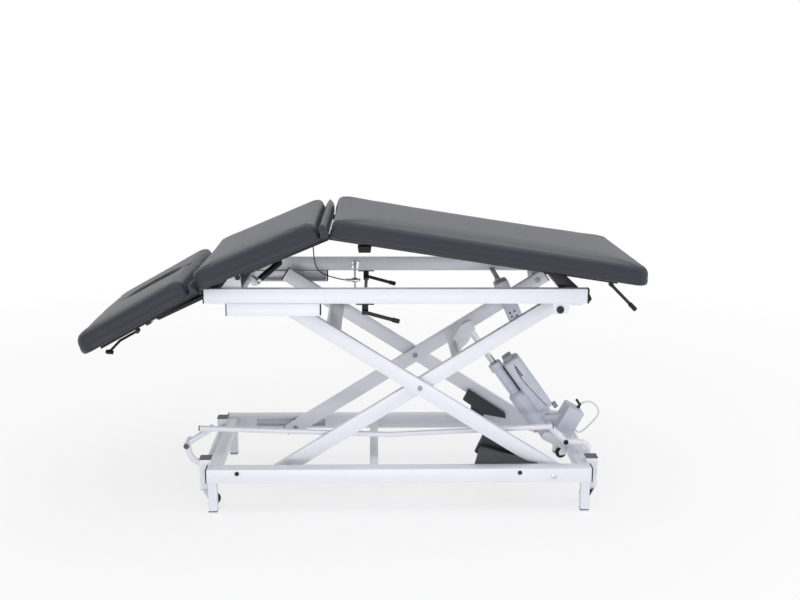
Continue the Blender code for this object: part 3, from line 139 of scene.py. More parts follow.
class TableColours(bpy.types.PropertyGroup):
    """Colours of the table's finishes"""

    white_paint: bpy.props.FloatVectorProperty(
        name="White paint", description="Powder coat of the tube frame", subtype="COLOR", size=3,
        default=(0.80, 0.81, 0.86), min=0, max=1)
    black_paint: bpy.props.FloatVectorProperty(
        name="Black paint", description="Levers, springs and section frames", subtype="COLOR", size=3,
        default=(0.008, 0.008, 0.011), min=0, max=1)
    vinyl: bpy.props.FloatVectorProperty(
        name="Vinyl", description="Imitation leather of the cushions", subtype="COLOR", size=3,
        default=(0.032, 0.034, 0.046), min=0, max=1)
    grey_plastic: bpy.props.FloatVectorProperty(
        name="Grey plastic", description="Motor, control box and power box", subtype="COLOR", size=3,
        default=(0.56, 0.58, 0.66), min=0, max=1)
    dark_plastic: bpy.props.FloatVectorProperty(
        name="Dark plastic", description="Guards, rollers, caps and wheels", subtype="COLOR", size=3,
        default=(0.021, 0.022, 0.030), min=0, max=1)
    steel: bpy.props.FloatVectorProperty(
        name="Steel", description="Rods, forks and bolts", subtype="COLOR", size=3,
        default=(0.62, 0.63, 0.66), min=0, max=1)


class TableSizes(bpy.types.PropertyGroup):
    """Sizes of the trim that the frame carries"""

    mid_tilt: bpy.props.FloatProperty(
        name="Middle tilt", description="Slope of the middle section",
        default=math.radians(23.0), subtype="ANGLE")
    long_tilt: bpy.props.FloatProperty(
        name="Long tilt", description="Slope of the long section",
        default=math.radians(8.75), subtype="ANGLE")
    head_tilt: bpy.props.FloatProperty(
        name="Head tilt", description="Slope of the head section", default=HEAD_TILT, subtype="ANGLE")
    voxel: bpy.props.FloatProperty(
        name="Voxel", description="Grid of the cushion remesh",
        default=0.006, min=0.003, max=0.02, unit="LENGTH")
    swell: bpy.props.FloatProperty(
        name="Swell", description="Most that a cushion point may move",
        default=0.0032, min=0, max=0.03, unit="LENGTH")
    cap: bpy.props.FloatProperty(
        name="Cap", description="Thickness of the plastic end caps",
        default=0.0035, min=0.001, max=0.01, unit="LENGTH")
    bolt: bpy.props.FloatProperty(
        name="Bolt", description="Radius of the frame bolts' heads",
        default=0.0075, min=0.003, max=0.02, unit="LENGTH")


class StageLook(bpy.types.PropertyGroup):
    """The studio round the table"""

    floor: bpy.props.FloatVectorProperty(
        name="Floor", description="Colour of the floor", subtype="COLOR", size=3,
        default=(0.90, 0.90, 0.92), min=0, max=1)
    world: bpy.props.FloatProperty(
        name="World light", description="Strength of the even light from all round",
        default=0.70, min=0, max=3)
    key: bpy.props.FloatProperty(
        name="Key light", description="Power of the large overhead lamp in watts",
        default=40, min=0, max=2000)


def colours():
    return bpy.context.scene.table_colours


def sizes():
    return bpy.context.scene.table_sizes


def alone(obj):
    bpy.ops.object.select_all(action="DESELECT")
    obj.select_set(True)
    bpy.context.view_layer.objects.active = obj


def settle(obj):
    """The object's place goes into its mesh."""
    alone(obj)
    bpy.ops.object.transform_apply(location=True, rotation=True, scale=True)
    return obj


def named(name):
    made = bpy.context.object
    made.name = name
    made.data.name = name
    return made


@contextmanager
def editing(obj, mode="FACE"):
    """Edit mode with nothing selected."""
    alone(obj)
    bpy.ops.object.mode_set(mode="EDIT")
    bpy.ops.mesh.select_mode(type=mode)
    bpy.ops.mesh.select_all(action="DESELECT")
    yield
    bpy.ops.object.mode_set(mode="OBJECT")


def pick(obj, wanted):
    """Selects the faces that the test accepts, from inside edit mode."""
    bpy.ops.object.mode_set(mode="OBJECT")
    for face in obj.data.polygons:
        face.select = bool(wanted(face))
    bpy.ops.object.mode_set(mode="EDIT")


def pick_end(obj, toward):
    """Selects the flat round end that faces a direction, from inside edit mode."""
    pick(obj, lambda face: len(face.vertices) > 8 and face.normal.dot(Vector(toward)) > 0.9)


def bevel(radius, segments):
    """Rounds the selected edges, from inside edit mode."""
    bpy.ops.mesh.bevel(offset=radius, segments=segments, affect="EDGES", clamp_overlap=True)


def smooth(obj):
    alone(obj)
    bpy.ops.object.shade_smooth_by_angle(angle=CREASE)
    return obj


def rounded(obj, radius, segments):
    """Rounds every edge of a piece."""
    with editing(obj, "EDGE"):
        bpy.ops.mesh.select_all(action="SELECT")
        bevel(radius, segments)
    return smooth(obj)


def block(name, low, high, radius=0.0, segments=3):
    """A box between two corners with its edges rounded."""
    low, high = Vector(low), Vector(high)
    bpy.ops.object.select_all(action="DESELECT")
    bpy.ops.mesh.primitive_cube_add(size=1, location=(low + high) / 2)
    made = named(name)
    made.scale = high - low
    settle(made)
    return rounded(made, radius, segments) if radius else smooth(made)


def tapered(name, low, high, toward, shares, radius, segments, shift=(0, 0, 0)):
    """A box with one face drawn in to a share of its size and shifted, then rounded."""
    made = block(name, low, high)
    with editing(made):
        pick(made, lambda face: face.normal.dot(Vector(toward)) > 0.9)
        bpy.ops.transform.resize(value=shares)
        bpy.ops.transform.translate(value=shift)
    return rounded(made, radius, segments)


def barrel(name, start, end, radius, sides, rim=0.0, segments=3):
    """A round bar between two points with its rims rounded."""
    start, end = Vector(start), Vector(end)
    along = end - start
    bpy.ops.object.select_all(action="DESELECT")
    bpy.ops.mesh.primitive_cylinder_add(
        vertices=sides, radius=radius, depth=along.length, location=(start + end) / 2,
        rotation=along.to_track_quat("Z", "Y").to_euler())
    made = named(name)
    settle(made)
    if rim:
        with editing(made):
            pick(made, lambda face: len(face.vertices) > 4)
            bpy.ops.mesh.region_to_loop()
            bevel(rim, segments)
    return smooth(made)


def apply_modifiers(obj):
    alone(obj)
    for modifier in list(obj.modifiers):
        bpy.ops.object.modifier_apply(modifier=modifier.name)


def subdivide(obj, levels):
    fine = obj.modifiers.new("fine", "SUBSURF")
    fine.levels = fine.render_levels = levels
    apply_modifiers(obj)


def extent(obj):
    """The lowest and the highest corner round a mesh's points."""
    points = [vertex.co for vertex in obj.data.vertices]
    return [[end(point[axis] for point in points) for axis in range(3)] for end in (min, max)]


def face_out(obj):
    with editing(obj):
        bpy.ops.mesh.select_all(action="SELECT")
        bpy.ops.mesh.remove_doubles(threshold=1e-6)
        bpy.ops.mesh.normals_make_consistent(inside=False)


def gathered(name, pieces):
    """Like pieces on one body become one object."""
    alone(pieces[0])
    for made in pieces:
        made.select_set(True)
    if len(pieces) > 1:
        bpy.ops.object.join()
    return named(name)


def copied(model, places):
    """Copies of one modelled piece, each with its own mesh, at the given places. The model goes."""
    made = []
    for place in places:
        alone(model)
        bpy.ops.object.duplicate()
        copy = bpy.context.object
        copy.matrix_world = place if isinstance(place, Matrix) else Matrix.Translation(place)
        made.append(settle(copy))
    bpy.data.objects.remove(model)
    return made


def beside(x, y, z):
    """The same place on the near and the far side."""
    return [(x, side * y, z) for side in SIDES]


def both_sides(x, y, z, outward=1):
    """The same spot on the near and the far side, facing out or in."""
    return [((x, side * y, z), (0, side * outward, 0)) for side in SIDES]


def facing(place, toward):
    """A place for a piece that was modelled pointing up."""
    return Matrix.Translation(place) @ Vector(toward).to_track_quat("Z", "Y").to_matrix().to_4x4()


def bolts(name, spots, radius, depth, socket=0.5):
    """Round bolt heads with a hollow socket, each standing on a face at a place and towards a direction."""
    made = barrel("bolt", (0, 0, 0.0001), (0, 0, depth), radius, 24, min(0.3 * depth, 0.0012), 2)
    with editing(made):
        pick_end(made, (0, 0, 1))
        bpy.ops.mesh.inset(thickness=radius * (1 - socket), depth=0)
        bpy.ops.mesh.inset(thickness=radius * 0.04, depth=-depth * 0.6)
    smooth(made)
    return gathered(name, copied(made, [facing(place, toward) for place, toward in spots]))


def carry(obj, kind, body, nodes=()):
    """Gives a finished piece its finish and puts it on its body."""
    obj.data.materials.clear()
    obj.data.materials.append(finish(kind))
    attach(obj, body)
    if nodes:
        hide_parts(*nodes)


def smooth_route(points, steps):
    """Points on a smooth curve through the given ones."""
    points = [Vector(point) for point in points]
    ends = [2 * points[0] - points[1], *points, 2 * points[-1] - points[-2]]
    route = []
    for before, start, end, after in zip(ends, ends[1:], ends[2:], ends[3:]):
        for step in range(steps):
            t = step / steps
            bend = 2 * before - 5 * start + 4 * end - after
            twist = 3 * start - before - 3 * end + after
            route.append(0.5 * (2 * start + (end - before) * t + bend * t**2 + twist * t**3))
    route.append(points[-1])
    return route


def tube(name, route, radius, sides=3):
    """A round tube along a route, made from a bevelled curve."""
    data = bpy.data.curves.new(name, "CURVE")
    data.dimensions = "3D"
    data.bevel_depth = radius
    data.bevel_resolution = sides
    data.use_fill_caps = True
    spline = data.splines.new("POLY")
    spline.points.add(len(route) - 1)
    for point, place in zip(spline.points, route):
        point.co = (*place, 1)
    made = bpy.data.objects.new(name, data)
    bpy.context.scene.collection.objects.link(made)
    alone(made)
    bpy.ops.object.convert(target="MESH")
    face_out(named(name))
    return smooth(bpy.context.object)


def add_node(tree, kind, inputs=None, **settings):
    """A new shader node, each input set to a value or fed by another node's output."""
    made = tree.nodes.new(kind)
    for key, value in settings.items():
        setattr(made, key, value)
    for key, value in (inputs or {}).items():
        if isinstance(value, bpy.types.NodeSocket):
            tree.links.new(value, made.inputs[key])
        else:
            made.inputs[key].default_value = value
    return made


class Paint:
    """A Principled material that is built up node by node on Object coordinates."""

    # The part of a noise's range that is used
    LOW, HIGH = 0.3, 0.7

    def __init__(self, name, colour, roughness, metallic=0.0):
        self.material = bpy.data.materials.new(name)
        self.material.use_nodes = True
        self.tree = self.material.node_tree
        self.shader = self.tree.nodes["Principled BSDF"]
        self.place = self.node("ShaderNodeTexCoord").outputs["Object"]
        self.colour = tuple(colour)
        self.bump = None
        self.set(Base_Color=(*colour, 1), Roughness=roughness, Metallic=metallic)

    def set(self, **values):
        for key, value in values.items():
            self.shader.inputs[key.replace("_", " ")].default_value = value

    def node(self, kind, inputs=None, **settings):
        return add_node(self.tree, kind, inputs, **settings)

    def feed(self, value, socket):
        self.tree.links.new(value, self.shader.inputs[socket])

    def noise(self, scale, detail):
        inputs = {"Vector": self.place, "Scale": scale, "Detail": detail}
        return self.node("ShaderNodeTexNoise", inputs).outputs["Fac"]

    def cells(self, scale):
        inputs = {"Vector": self.place, "Scale": scale}
        return self.node("ShaderNodeTexVoronoi", inputs, feature="DISTANCE_TO_EDGE").outputs["Distance"]

    def tint(self, value, low, high):
        """The base colour, from low to high times itself."""
        ramp = self.node("ShaderNodeValToRGB", {"Fac": value})
        for stop, place, share in zip(ramp.color_ramp.elements, (self.LOW, self.HIGH), (low, high)):
            stop.position = place
            stop.color = (*(min(1, share * part) for part in self.colour), 1)
        self.feed(ramp.outputs["Color"], "Base Color")

    def roughen(self, value, low, high):
        made = self.node("ShaderNodeMapRange", {
            "Value": value, "From Min": self.LOW, "From Max": self.HIGH, "To Min": low, "To Max": high})
        self.feed(made.outputs["Result"], "Roughness")

    def relief(self, value, depth, strength):
        made = self.node("ShaderNodeBump", {"Height": value, "Distance": depth, "Strength": strength})
        if self.bump:
            self.tree.links.new(self.bump, made.inputs["Normal"])
        self.bump = made.outputs["Normal"]
        self.feed(self.bump, "Normal")


def coating(name, colour, roughness, metallic=0.0, tint=None, rough=None, relief=None, **shader):
    """A finish with noise in it. Each noise is its scale and detail, then the lowest and highest share
    of the colour, the lowest and highest roughness, or the depth and strength of the relief.
    """
    paint = Paint(name, colour, roughness, metallic)
    for change, noise in ((paint.tint, tint), (paint.roughen, rough), (paint.relief, relief)):
        if noise:
            change(paint.noise(*noise[:2]), *noise[2:])
    paint.set(**shader)
    return paint


def moulded(name, colour, roughness, grain=1100):
    return coating(
        name, colour, roughness, tint=(24, 4, 0.95, 1.05), rough=(90, 3, roughness - 0.06, roughness + 0.06),
        relief=(grain, 2, 0.00007, 0.5))


def leatherette(colour):
    paint = coating(
        "dark_leatherette", colour, 0.42, tint=(9, 3, 0.98, 1.03), rough=(160, 3, 0.41, 0.46),
        Specular_IOR_Level=0.26, Sheen_Weight=0.05, Sheen_Roughness=0.5)
    paint.relief(paint.cells(620), 0.00020, 0.5)
    paint.relief(paint.noise(2300, 3), 0.00005, 0.4)
    return paint


def all_finishes():
    own = colours()
    return {
        "white": coating(
            "white_powder_coat", own.white_paint, 0.36, tint=(7, 4, 0.975, 1.02), rough=(55, 3, 0.30, 0.42),
            relief=(900, 2, 0.00006, 0.5), Coat_Weight=0.15, Coat_Roughness=0.2),
        "black": coating(
            "satin_black_paint", own.black_paint, 0.36, tint=(30, 4, 0.8, 1.5), rough=(120, 4, 0.28, 0.44),
            relief=(1400, 2, 0.00004, 0.5), Specular_IOR_Level=0.34),
        "vinyl": leatherette(own.vinyl),
        "grey": moulded("grey_moulded_plastic", own.grey_plastic, 0.40),
        "pale": moulded("pale_moulded_plastic", (0.72, 0.73, 0.78), 0.36),
        "dark": moulded("dark_moulded_plastic", own.dark_plastic, 0.52, 900),
        "steel": coating(
            "bright_steel", own.steel, 0.3, 1.0, tint=(40, 4, 0.86, 1.1), rough=(220, 4, 0.20, 0.36),
            relief=(700, 2, 0.00003, 0.4)),
        "rod": coating("ground_rod", own.steel, 0.2, 1.0, rough=(180, 3, 0.12, 0.26)),
        "rubber": coating(
            "black_rubber", (0.010, 0.010, 0.013), 0.62, tint=(60, 4, 0.75, 1.5), rough=(300, 3, 0.52, 0.70),
            relief=(1500, 2, 0.00006, 0.5), Specular_IOR_Level=0.30),
        "cloth": coating(
            "black_backing_cloth", (0.016, 0.016, 0.018), 0.85, tint=(220, 5, 0.6, 1.7),
            relief=(1800, 3, 0.0002, 0.6)),
        "lid": moulded("grey_lid_plastic", (0.10, 0.10, 0.11), 0.55),
        "zinc": coating(
            "zinc_plate", (0.30, 0.31, 0.35), 0.45, 0.6, tint=(90, 4, 0.8, 1.2), rough=(260, 4, 0.38, 0.52),
            relief=(900, 2, 0.00003, 0.4)),
        "mid_grey": moulded("mid_grey_plastic", (0.30, 0.31, 0.34), 0.5),
    }


FINISHES = {}


def finish(kind):
    """The material of a finish. All are made at the first call."""
    if not FINISHES:
        FINISHES.update(all_finishes())
    return FINISHES[kind].material


def pairs(*names):
    """Names of nodes that stand on the near and the far side."""
    return [f"{name}_{side}" for name in names for side in ("near", "far")]


NODE_FINISH = {
    "white": (
        *pairs("base_tube", "outer_arm", "inner_arm", "top_tube", "roller_rail"), "base_end_left",
        "base_end_right", "base_cross_middle", "motor_clevis", "pedal_left", "pedal_right", "foot_rail",
        "outer_cross_tube", "inner_cross_tube", "top_cross_left", "top_cross_right"),
    "black": (
        *pairs("lever_bracket"), "release_lever", "pivot_gas_cylinder", "head_gas_cylinder", "head_frame",
        "mid_frame", "long_frame", "head_lever", "end_lever"),
    "dark": pairs("base_guard", "arm_guard", "upper_roller", "lower_roller"),
    "grey": ("motor_housing", "actuator_tube", "power_box", "control_box"),
    "steel": (*(f"castor_fork_{castor[0]}" for castor in CASTORS), "cable_stop"),
    "rod": ("actuator_rod", "pivot_gas_rod", "head_gas_rod"),
}


def seen_rays(tree):
    """An output that is 1 for the rays of the camera and of glossy and clear surfaces."""
    path = add_node(tree, "ShaderNodeLightPath")
    seen = path.outputs["Is Camera Ray"]
    for kind in ("Is Glossy Ray", "Is Transmission Ray"):
        either = add_node(tree, "ShaderNodeMath", {0: seen, 1: path.outputs[kind]}, operation="MAXIMUM")
        seen = either.outputs[0]
    return seen


class TABLE_OT_stage(bpy.types.Operator):
    """Makes the camera, the floor and the studio light"""

    bl_idname = "treatment_table.stage"
    bl_label = "Stage"

    def execute(self, context):
        look = context.scene.stage_look
        known = {node.name for node in frame["nodes"].values()}
        for spare in list(bpy.data.objects):
            if spare.type in {"LIGHT", "CAMERA"} and spare.name not in known:
                bpy.data.objects.remove(spare)
        self.camera(context)
        self.floor(look)
        self.lights(look)
        self.world(context, look)
        context.scene.view_settings.view_transform = "Standard"
        return {"FINISHED"}

    def camera(self, context):
        """The camera that was fitted to the photograph's edges."""
        yaw, pitch, roll = (math.radians(angle) for angle in (1.484, 12.207, 0.278))
        turn = (
            Matrix.Rotation(-yaw, 4, "Z") @ Matrix.Rotation(math.pi / 2 - pitch, 4, "X")
            @ Matrix.Rotation(roll, 4, "Z"))
        data = bpy.data.cameras.new("camera")
        data.lens = 48.825
        data.sensor_width = 36
        data.sensor_fit = "HORIZONTAL"
        data.clip_end = 100
        camera = bpy.data.objects.new("camera", data)
        camera.matrix_world = Matrix.Translation((0.035, -3.8048, 1.5088)) @ turn
        context.scene.collection.objects.link(camera)
        context.scene.camera = camera

    def floor(self, look):
        """A pale floor that fades into the white background away from the table."""
        bpy.ops.object.select_all(action="DESELECT")
        bpy.ops.mesh.primitive_circle_add(vertices=96, radius=9, fill_type="NGON", location=(0, 0, 0))
        floor = named("floor")
        paint = Paint("floor", look.floor, 0.7)
        paint.set(Specular_IOR_Level=0.1)
        away = paint.node("ShaderNodeVectorMath", {0: paint.place}, operation="LENGTH")
        fade = paint.node("ShaderNodeMapRange", {
            "Value": away.outputs["Value"], "From Min": 1.1, "From Max": 4.0, "To Min": 0.72, "To Max": 1.0})
        share = paint.node(
            "ShaderNodeMath", {0: seen_rays(paint.tree), 1: fade.outputs["Result"]}, operation="MULTIPLY")
        glow = paint.node("ShaderNodeEmission", {"Color": (1, 1, 1, 1), "Strength": 1.0})
        mix = paint.node("ShaderNodeMixShader", {
            0: share.outputs[0], 1: paint.shader.outputs["BSDF"], 2: glow.outputs["Emission"]})
        surface = paint.tree.nodes["Material Output"].inputs["Surface"]
        paint.tree.links.new(mix.outputs["Shader"], surface)
        floor.data.materials.append(paint.material)

    def lights(self, look):
        """Each lamp: its place, target, width and height, and share of the key light's power."""
        places = (
            ("key", (0.3, -0.6, 3.4), (0, 0, 0.5), (4.2, 3.0), 1.0),
            ("front", (-0.2, -2.5, 0.12), (0, 0, 0.10), (3.0, 0.3), 0.42),
            ("right", (3.6, -1.2, 1.5), (0, 0, 0.5), (2.0, 2.0), 0.30),
        )
        for name, place, target, size, share in places:
            data = bpy.data.lights.new(name, "AREA")
            data.shape = "RECTANGLE"
            data.size, data.size_y = size
            data.energy = look.key * share
            lamp = bpy.data.objects.new(name, data)
            lamp.location = place
            lamp.rotation_euler = (Vector(target) - Vector(place)).to_track_quat("-Z", "Y").to_euler()
            bpy.context.scene.collection.objects.link(lamp)

    def world(self, context, look):
        """An even light from all round that is plain white where it is seen."""
        world = context.scene.world or bpy.data.worlds.new("studio")
        context.scene.world = world
        world.use_nodes = True
        tree = world.node_tree
        tree.nodes.clear()
        lit = add_node(tree, "ShaderNodeBackground", {"Color": (0.97, 0.97, 1.0, 1), "Strength": look.world})
        shown = add_node(tree, "ShaderNodeBackground", {"Color": (1, 1, 1, 1), "Strength": 1.0})
        mix = add_node(tree, "ShaderNodeMixShader", {
            0: seen_rays(tree), 1: lit.outputs["Background"], 2: shown.outputs["Background"]})
        add_node(tree, "ShaderNodeOutputWorld", {"Surface": mix.outputs["Shader"]})


class TABLE_OT_dress(bpy.types.Operator):
    """Gives each node of the frame its finish, round edges and smooth shading"""

    bl_idname = "treatment_table.dress"
    bl_label = "Frame finishes"

    def execute(self, context):
        for kind, nodes in NODE_FINISH.items():
            for name in nodes:
                node = frame["nodes"][name]
                node.data.materials.clear()
                node.data.materials.append(finish(kind))
                self.soften(node)
        return {"FINISHED"}

    def soften(self, node):
        alone(node)
        if node.data.has_custom_normals:
            bpy.ops.mesh.customdata_custom_splitnormals_clear()
        node.data.shade_smooth()
        weld = node.modifiers.new("weld", "WELD")
        weld.merge_threshold = 0.00002
        bevel = node.modifiers.new("edges", "BEVEL")
        bevel.width = 0.0009
        bevel.segments = 2
        bevel.limit_method = "ANGLE"
        bevel.angle_limit = math.radians(50)
        bevel.use_clamp_overlap = True
        split = node.modifiers.new("creases", "EDGE_SPLIT")
        split.split_angle = math.radians(34)


class TABLE_OT_cushions(bpy.types.Operator):
    """Makes the three upholstered cushions with a cloth simulation"""

    bl_idname = "treatment_table.cushions"
    bl_label = "Cushions"

    def execute(self, context):
        setting = sizes()
        rows = (
            ("mid_pad", "mid_cushion", setting.mid_tilt, "mid_section", setting.voxel),
            ("long_pad", "long_cushion", -setting.long_tilt, "long_section", setting.voxel * 1.4),
            ("head_pad", "head_cushion", setting.head_tilt, "head_section", setting.voxel),
        )
        for name, node, tilt, body, voxel in rows:
            self.pad(context, name, node, tilt, body, voxel)
        return {"FINISHED"}

    def pad(self, context, name, node, tilt, body, voxel):
        """One cushion: the node laid flat, remeshed, rounded and swollen, then tilted back."""
        alone(frame["nodes"][node])
        bpy.ops.object.duplicate()
        pad = named(name)
        pad.parent = None
        for key in list(pad.keys()):
            del pad[key]
        pad.modifiers.clear()
        pad.matrix_world = Matrix.Identity(4)
        if pad.data.has_custom_normals:
            bpy.ops.mesh.customdata_custom_splitnormals_clear()
        face_out(pad)
        low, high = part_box(node)
        middle = (low + high) / 2
        flat = Matrix.Rotation(tilt, 4, "Y") @ Matrix.Translation(-middle)
        pad.data.transform(flat)
        remesh = pad.modifiers.new("remesh", "REMESH")
        remesh.mode = "VOXEL"
        remesh.voxel_size = voxel
        apply_modifiers(pad)
        self.round_rims(pad)
        self.round_edges(pad, name)
        self.shrink(pad, 0.0010)
        self.inflate(context, pad)
        subdivide(pad, 1)
        base = extent(pad)[0][2]
        under = [face.center.z < base + 0.002 and face.normal.z < -0.95 for face in pad.data.polygons]
        pad.data.transform(flat.inverted())
        pad.data.shade_smooth()
        carry(pad, "vinyl", body, (node,))
        pad.data.materials.append(finish("cloth"))
        for face, below in zip(pad.data.polygons, under):
            face.material_index = int(below)

    def shrink(self, pad, depth):
        """The pad swells later, so it starts a little smaller at its top and sides."""
        low, high = extent(pad)
        half = [max(-low[axis], high[axis]) for axis in (0, 1)]
        tall = high[2] - low[2]
        for point in [vertex.co for vertex in pad.data.vertices]:
            drawn = [depth * (1.6 - 0.8 * (point[axis] / half[axis]) ** 2) for axis in (1, 0)]
            point.x *= (half[0] - drawn[0]) / half[0]
            point.y *= (half[1] - drawn[1]) / half[1]
            point.z = low[2] + (point.z - low[2]) * (tall - depth) / tall

    def round_rims(self, pad):
        """Relaxes the sharp edges that the remesh leaves, then gives back the size that costs."""
        low, high = extent(pad)
        with editing(pad, "VERT"):
            bpy.ops.mesh.select_all(action="SELECT")
            bpy.ops.mesh.vertices_smooth(factor=0.5, repeat=3)
        new_low, new_high = extent(pad)
        for point in [vertex.co for vertex in pad.data.vertices]:
            for axis in range(3):
                scale = (high[axis] - low[axis]) / (new_high[axis] - new_low[axis])
                point[axis] = low[axis] + (point[axis] - new_low[axis]) * scale

    def round_edges(self, pad, name):
        """Rounds the corners in plan and rolls the edges over, wide at the top and the free end."""
        side, ends, below, corners = PAD_EDGES[name]
        low, high = extent(pad)
        for point in [vertex.co for vertex in pad.data.vertices]:
            right = point.x > (low[0] + high[0]) / 2
            round_plan = corners[right]
            core = self.core(point, low, high, round_plan)
            out = point.xy - core
            if out.length < 1e-6:
                continue
            inset = self.inside(point, low, high)
            out.normalize()
            top = side * out.y**2 + ends[right] * out.x**2
            foot = PAD_FOOT * out.y**2 + below[right] * out.x**2
            inset, drop = self.roll(inset, high[2] - point.z, top)
            inset, rise = self.roll(inset, high[2] - drop - low[2], foot)
            point.xy = core + out * (round_plan - inset)
            point.z = low[2] + rise

    def core(self, point, low, high, radius):
        """The nearest place in the plan drawn in by a radius."""
        return Vector([min(max(point[axis], low[axis] + radius), high[axis] - radius) for axis in (0, 1)])

    def inside(self, point, low, high):
        """How far a point is inside the plan of the part's own cushion."""
        out = (point.xy - self.core(point, low, high, PAD_CORNER)).length
        if out > 1e-6:
            return PAD_CORNER - out
        return min(min(point[axis] - low[axis], high[axis] - point[axis]) for axis in (0, 1))

    def roll(self, inset, drop, radius):
        """Pulls a point near an edge on to the edge's round; both are its distances from the two faces."""
        if max(inset, drop) >= radius:
            return inset, drop
        reach = math.hypot(radius - inset, radius - drop)
        if reach <= radius:
            return inset, drop
        share = radius / reach
        return radius - (radius - inset) * share, radius - (radius - drop) * share

    def inflate(self, context, pad):
        """Blows the pad up as cloth that its board holds below, and limits how far a point moves."""
        before = [vertex.co.copy() for vertex in pad.data.vertices]
        base = extent(pad)[0][2]
        group = pad.vertex_groups.new(name="board")
        group.add([i for i, point in enumerate(before) if point.z < base + PINNED], 1.0, "REPLACE")
        cloth = pad.modifiers.new("cloth", "CLOTH")
        for key, value in CLOTH.items():
            setattr(cloth.settings, key, value)
        cloth.settings.effector_weights.gravity = 0
        cloth.collision_settings.use_collision = False
        cloth.point_cache.frame_start = 1
        cloth.point_cache.frame_end = SIM_FRAMES
        for number in range(1, SIM_FRAMES + 1):
            context.scene.frame_set(number)
        apply_modifiers(pad)
        context.scene.frame_set(1)
        most = sizes().swell
        for vertex, start in zip(pad.data.vertices, before):
            step = vertex.co - start
            if step.length > most:
                vertex.co = start + step * (most / step.length)
        pad.vertex_groups.clear()


class TABLE_OT_cables(bpy.types.Operator):
    """Makes the release cable and the motor's cable"""

    bl_idname = "treatment_table.cables"
    bl_label = "Cables"

    def execute(self, context):
        route = smooth_route([(x, RELEASE_Y, z) for x, z in RELEASE_ROUTE], 3)
        cable = tube("release_cable_sleeve", route, 0.0022)
        cable.data.materials.append(finish("rubber"))
        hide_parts("release_cable")
        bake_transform(cable)
        self.declare(cable, route, 0.0044, "medium", "hanging")
        route = smooth_route(MOTOR_ROUTE, 6)
        lead = tube("motor_lead", route, 0.003)
        carry(lead, "pale", "motor_unit", ("motor_cable",))
        self.declare(lead, route, 0.006, "limp", "loose")
        return {"FINISHED"}

    def declare(self, cable, route, diameter, stiffness, lay):
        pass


class TABLE_OT_caps(bpy.types.Operator):
    """Closes the tubes, rails, arms and posts with plastic caps and puts tips on the legs"""

    bl_idname = "treatment_table.caps"
    bl_label = "End caps"

    def execute(self, context):
        thick = sizes().cap
        self.top_frame(thick)
        self.base(thick)
        self.arms()
        return {"FINISHED"}

    def cap(self, thick, wide, tall, rim=0.0008):
        """A tube's cap, from its half width and half height."""
        return block("cap", (0, -wide, -tall), (thick, wide, tall), rim)

    def top_frame(self, thick):
        head_cap = self.cap(thick, 0.0151, 0.0251)
        foot_cap = self.cap(thick * 1.5, 0.0151, 0.0251, 0.0010)
        rail_cap = self.cap(thick, 0.0201, 0.0201)
        lip = tapered(
            "lip", (0, -0.0105, -0.0150), (0.0085, 0.0105, 0.0150), (1, 0, 0), (1, 0.9, 0.22), 0.0009, 2,
            shift=(0, 0, -0.004))
        left, right = TOP_ENDS
        rail_left, rail_right = RAIL_ENDS
        made = [
            *copied(head_cap, beside(left - thick, TOP_Y, TOP_Z)),
            *copied(foot_cap, beside(right, TOP_Y, TOP_Z)),
            *copied(rail_cap, beside(rail_left - thick, RAIL_Y, RAIL_Z) + beside(rail_right, RAIL_Y, RAIL_Z)),
            *copied(lip, beside(right + thick * 1.45, 0.2995, 0.7590)),
        ]
        carry(gathered("top_frame_caps", made), "rubber", "top_frame")

    def base(self, thick):
        left, right = BASE_ENDS
        plug = self.cap(thick, 0.0249, 0.0249)
        plugs = copied(plug, beside(left - thick, BASE_Y, BASE_Z) + beside(right, BASE_Y, BASE_Z))
        carry(gathered("base_tube_plugs", plugs), "rubber", "base")
        tip = tapered(
            "tip", (-0.0157, -0.0157, 0.0), (0.0157, 0.0157, 0.0100), (0, 0, -1), (0.90, 0.90, 1), 0.0022, 4)
        tips = copied(tip, [place for x in LEGS for place in beside(x, BASE_Y, 0)])
        carry(gathered("leg_tips", tips), "rubber", "base")
        lids = copied(self.lid(), [place for x in POSTS for place in beside(x, POST_Y, POST_TOP)])
        carry(gathered("post_lids", lids), "lid", "base")

    def lid(self):
        """A post's lid with a raised rim round a sunk panel."""
        made = block("lid", (-0.0206, -0.0206, 0.0001), (0.0206, 0.0206, 0.0042), 0.0012, 2)
        top = max(vertex.co.z for vertex in made.data.vertices)
        with editing(made):
            pick(made, lambda face: face.center.z > top - 0.0001 and face.normal.z > 0.9)
            bpy.ops.mesh.inset(thickness=0.004, depth=-0.0008)
        return made

    def arms(self):
        """Caps on the arms' ends. The lower ones are short, because the arms are cut level there."""
        slope = math.asin(ARM_RISE / ARM_LENGTH)
        rows = (
            ("outer_arms", ARM_RIGHT, math.pi - slope, 0.2305, 1),
            ("inner_arms", ARM_LEFT, slope, 0.2049, -1),
        )
        for body, foot, angle, middle, low in rows:
            along = Vector((math.cos(angle), 0, math.sin(angle)))
            turn = Matrix.Rotation(-angle, 4, "Y")
            ends = [Vector(end) for end in beside(foot, middle, BASE_Z)]
            cut = sorted((low * 0.0078, -low * 0.0250))
            lower = block("cap", (-0.0042, -0.0125, cut[0]), (-0.0002, 0.0125, cut[1]), 0.0010)
            upper = block("cap", (0.0002, -0.0125, -0.0250), (0.0042, 0.0125, 0.0250), 0.0010)
            made = []
            for cap, reach in ((lower, -ARM_PAST), (upper, ARM_LENGTH + ARM_PAST)):
                made += copied(cap, [Matrix.Translation(end + along * reach) @ turn for end in ends])
            carry(gathered(f"{body}_caps", made), "rubber", body)


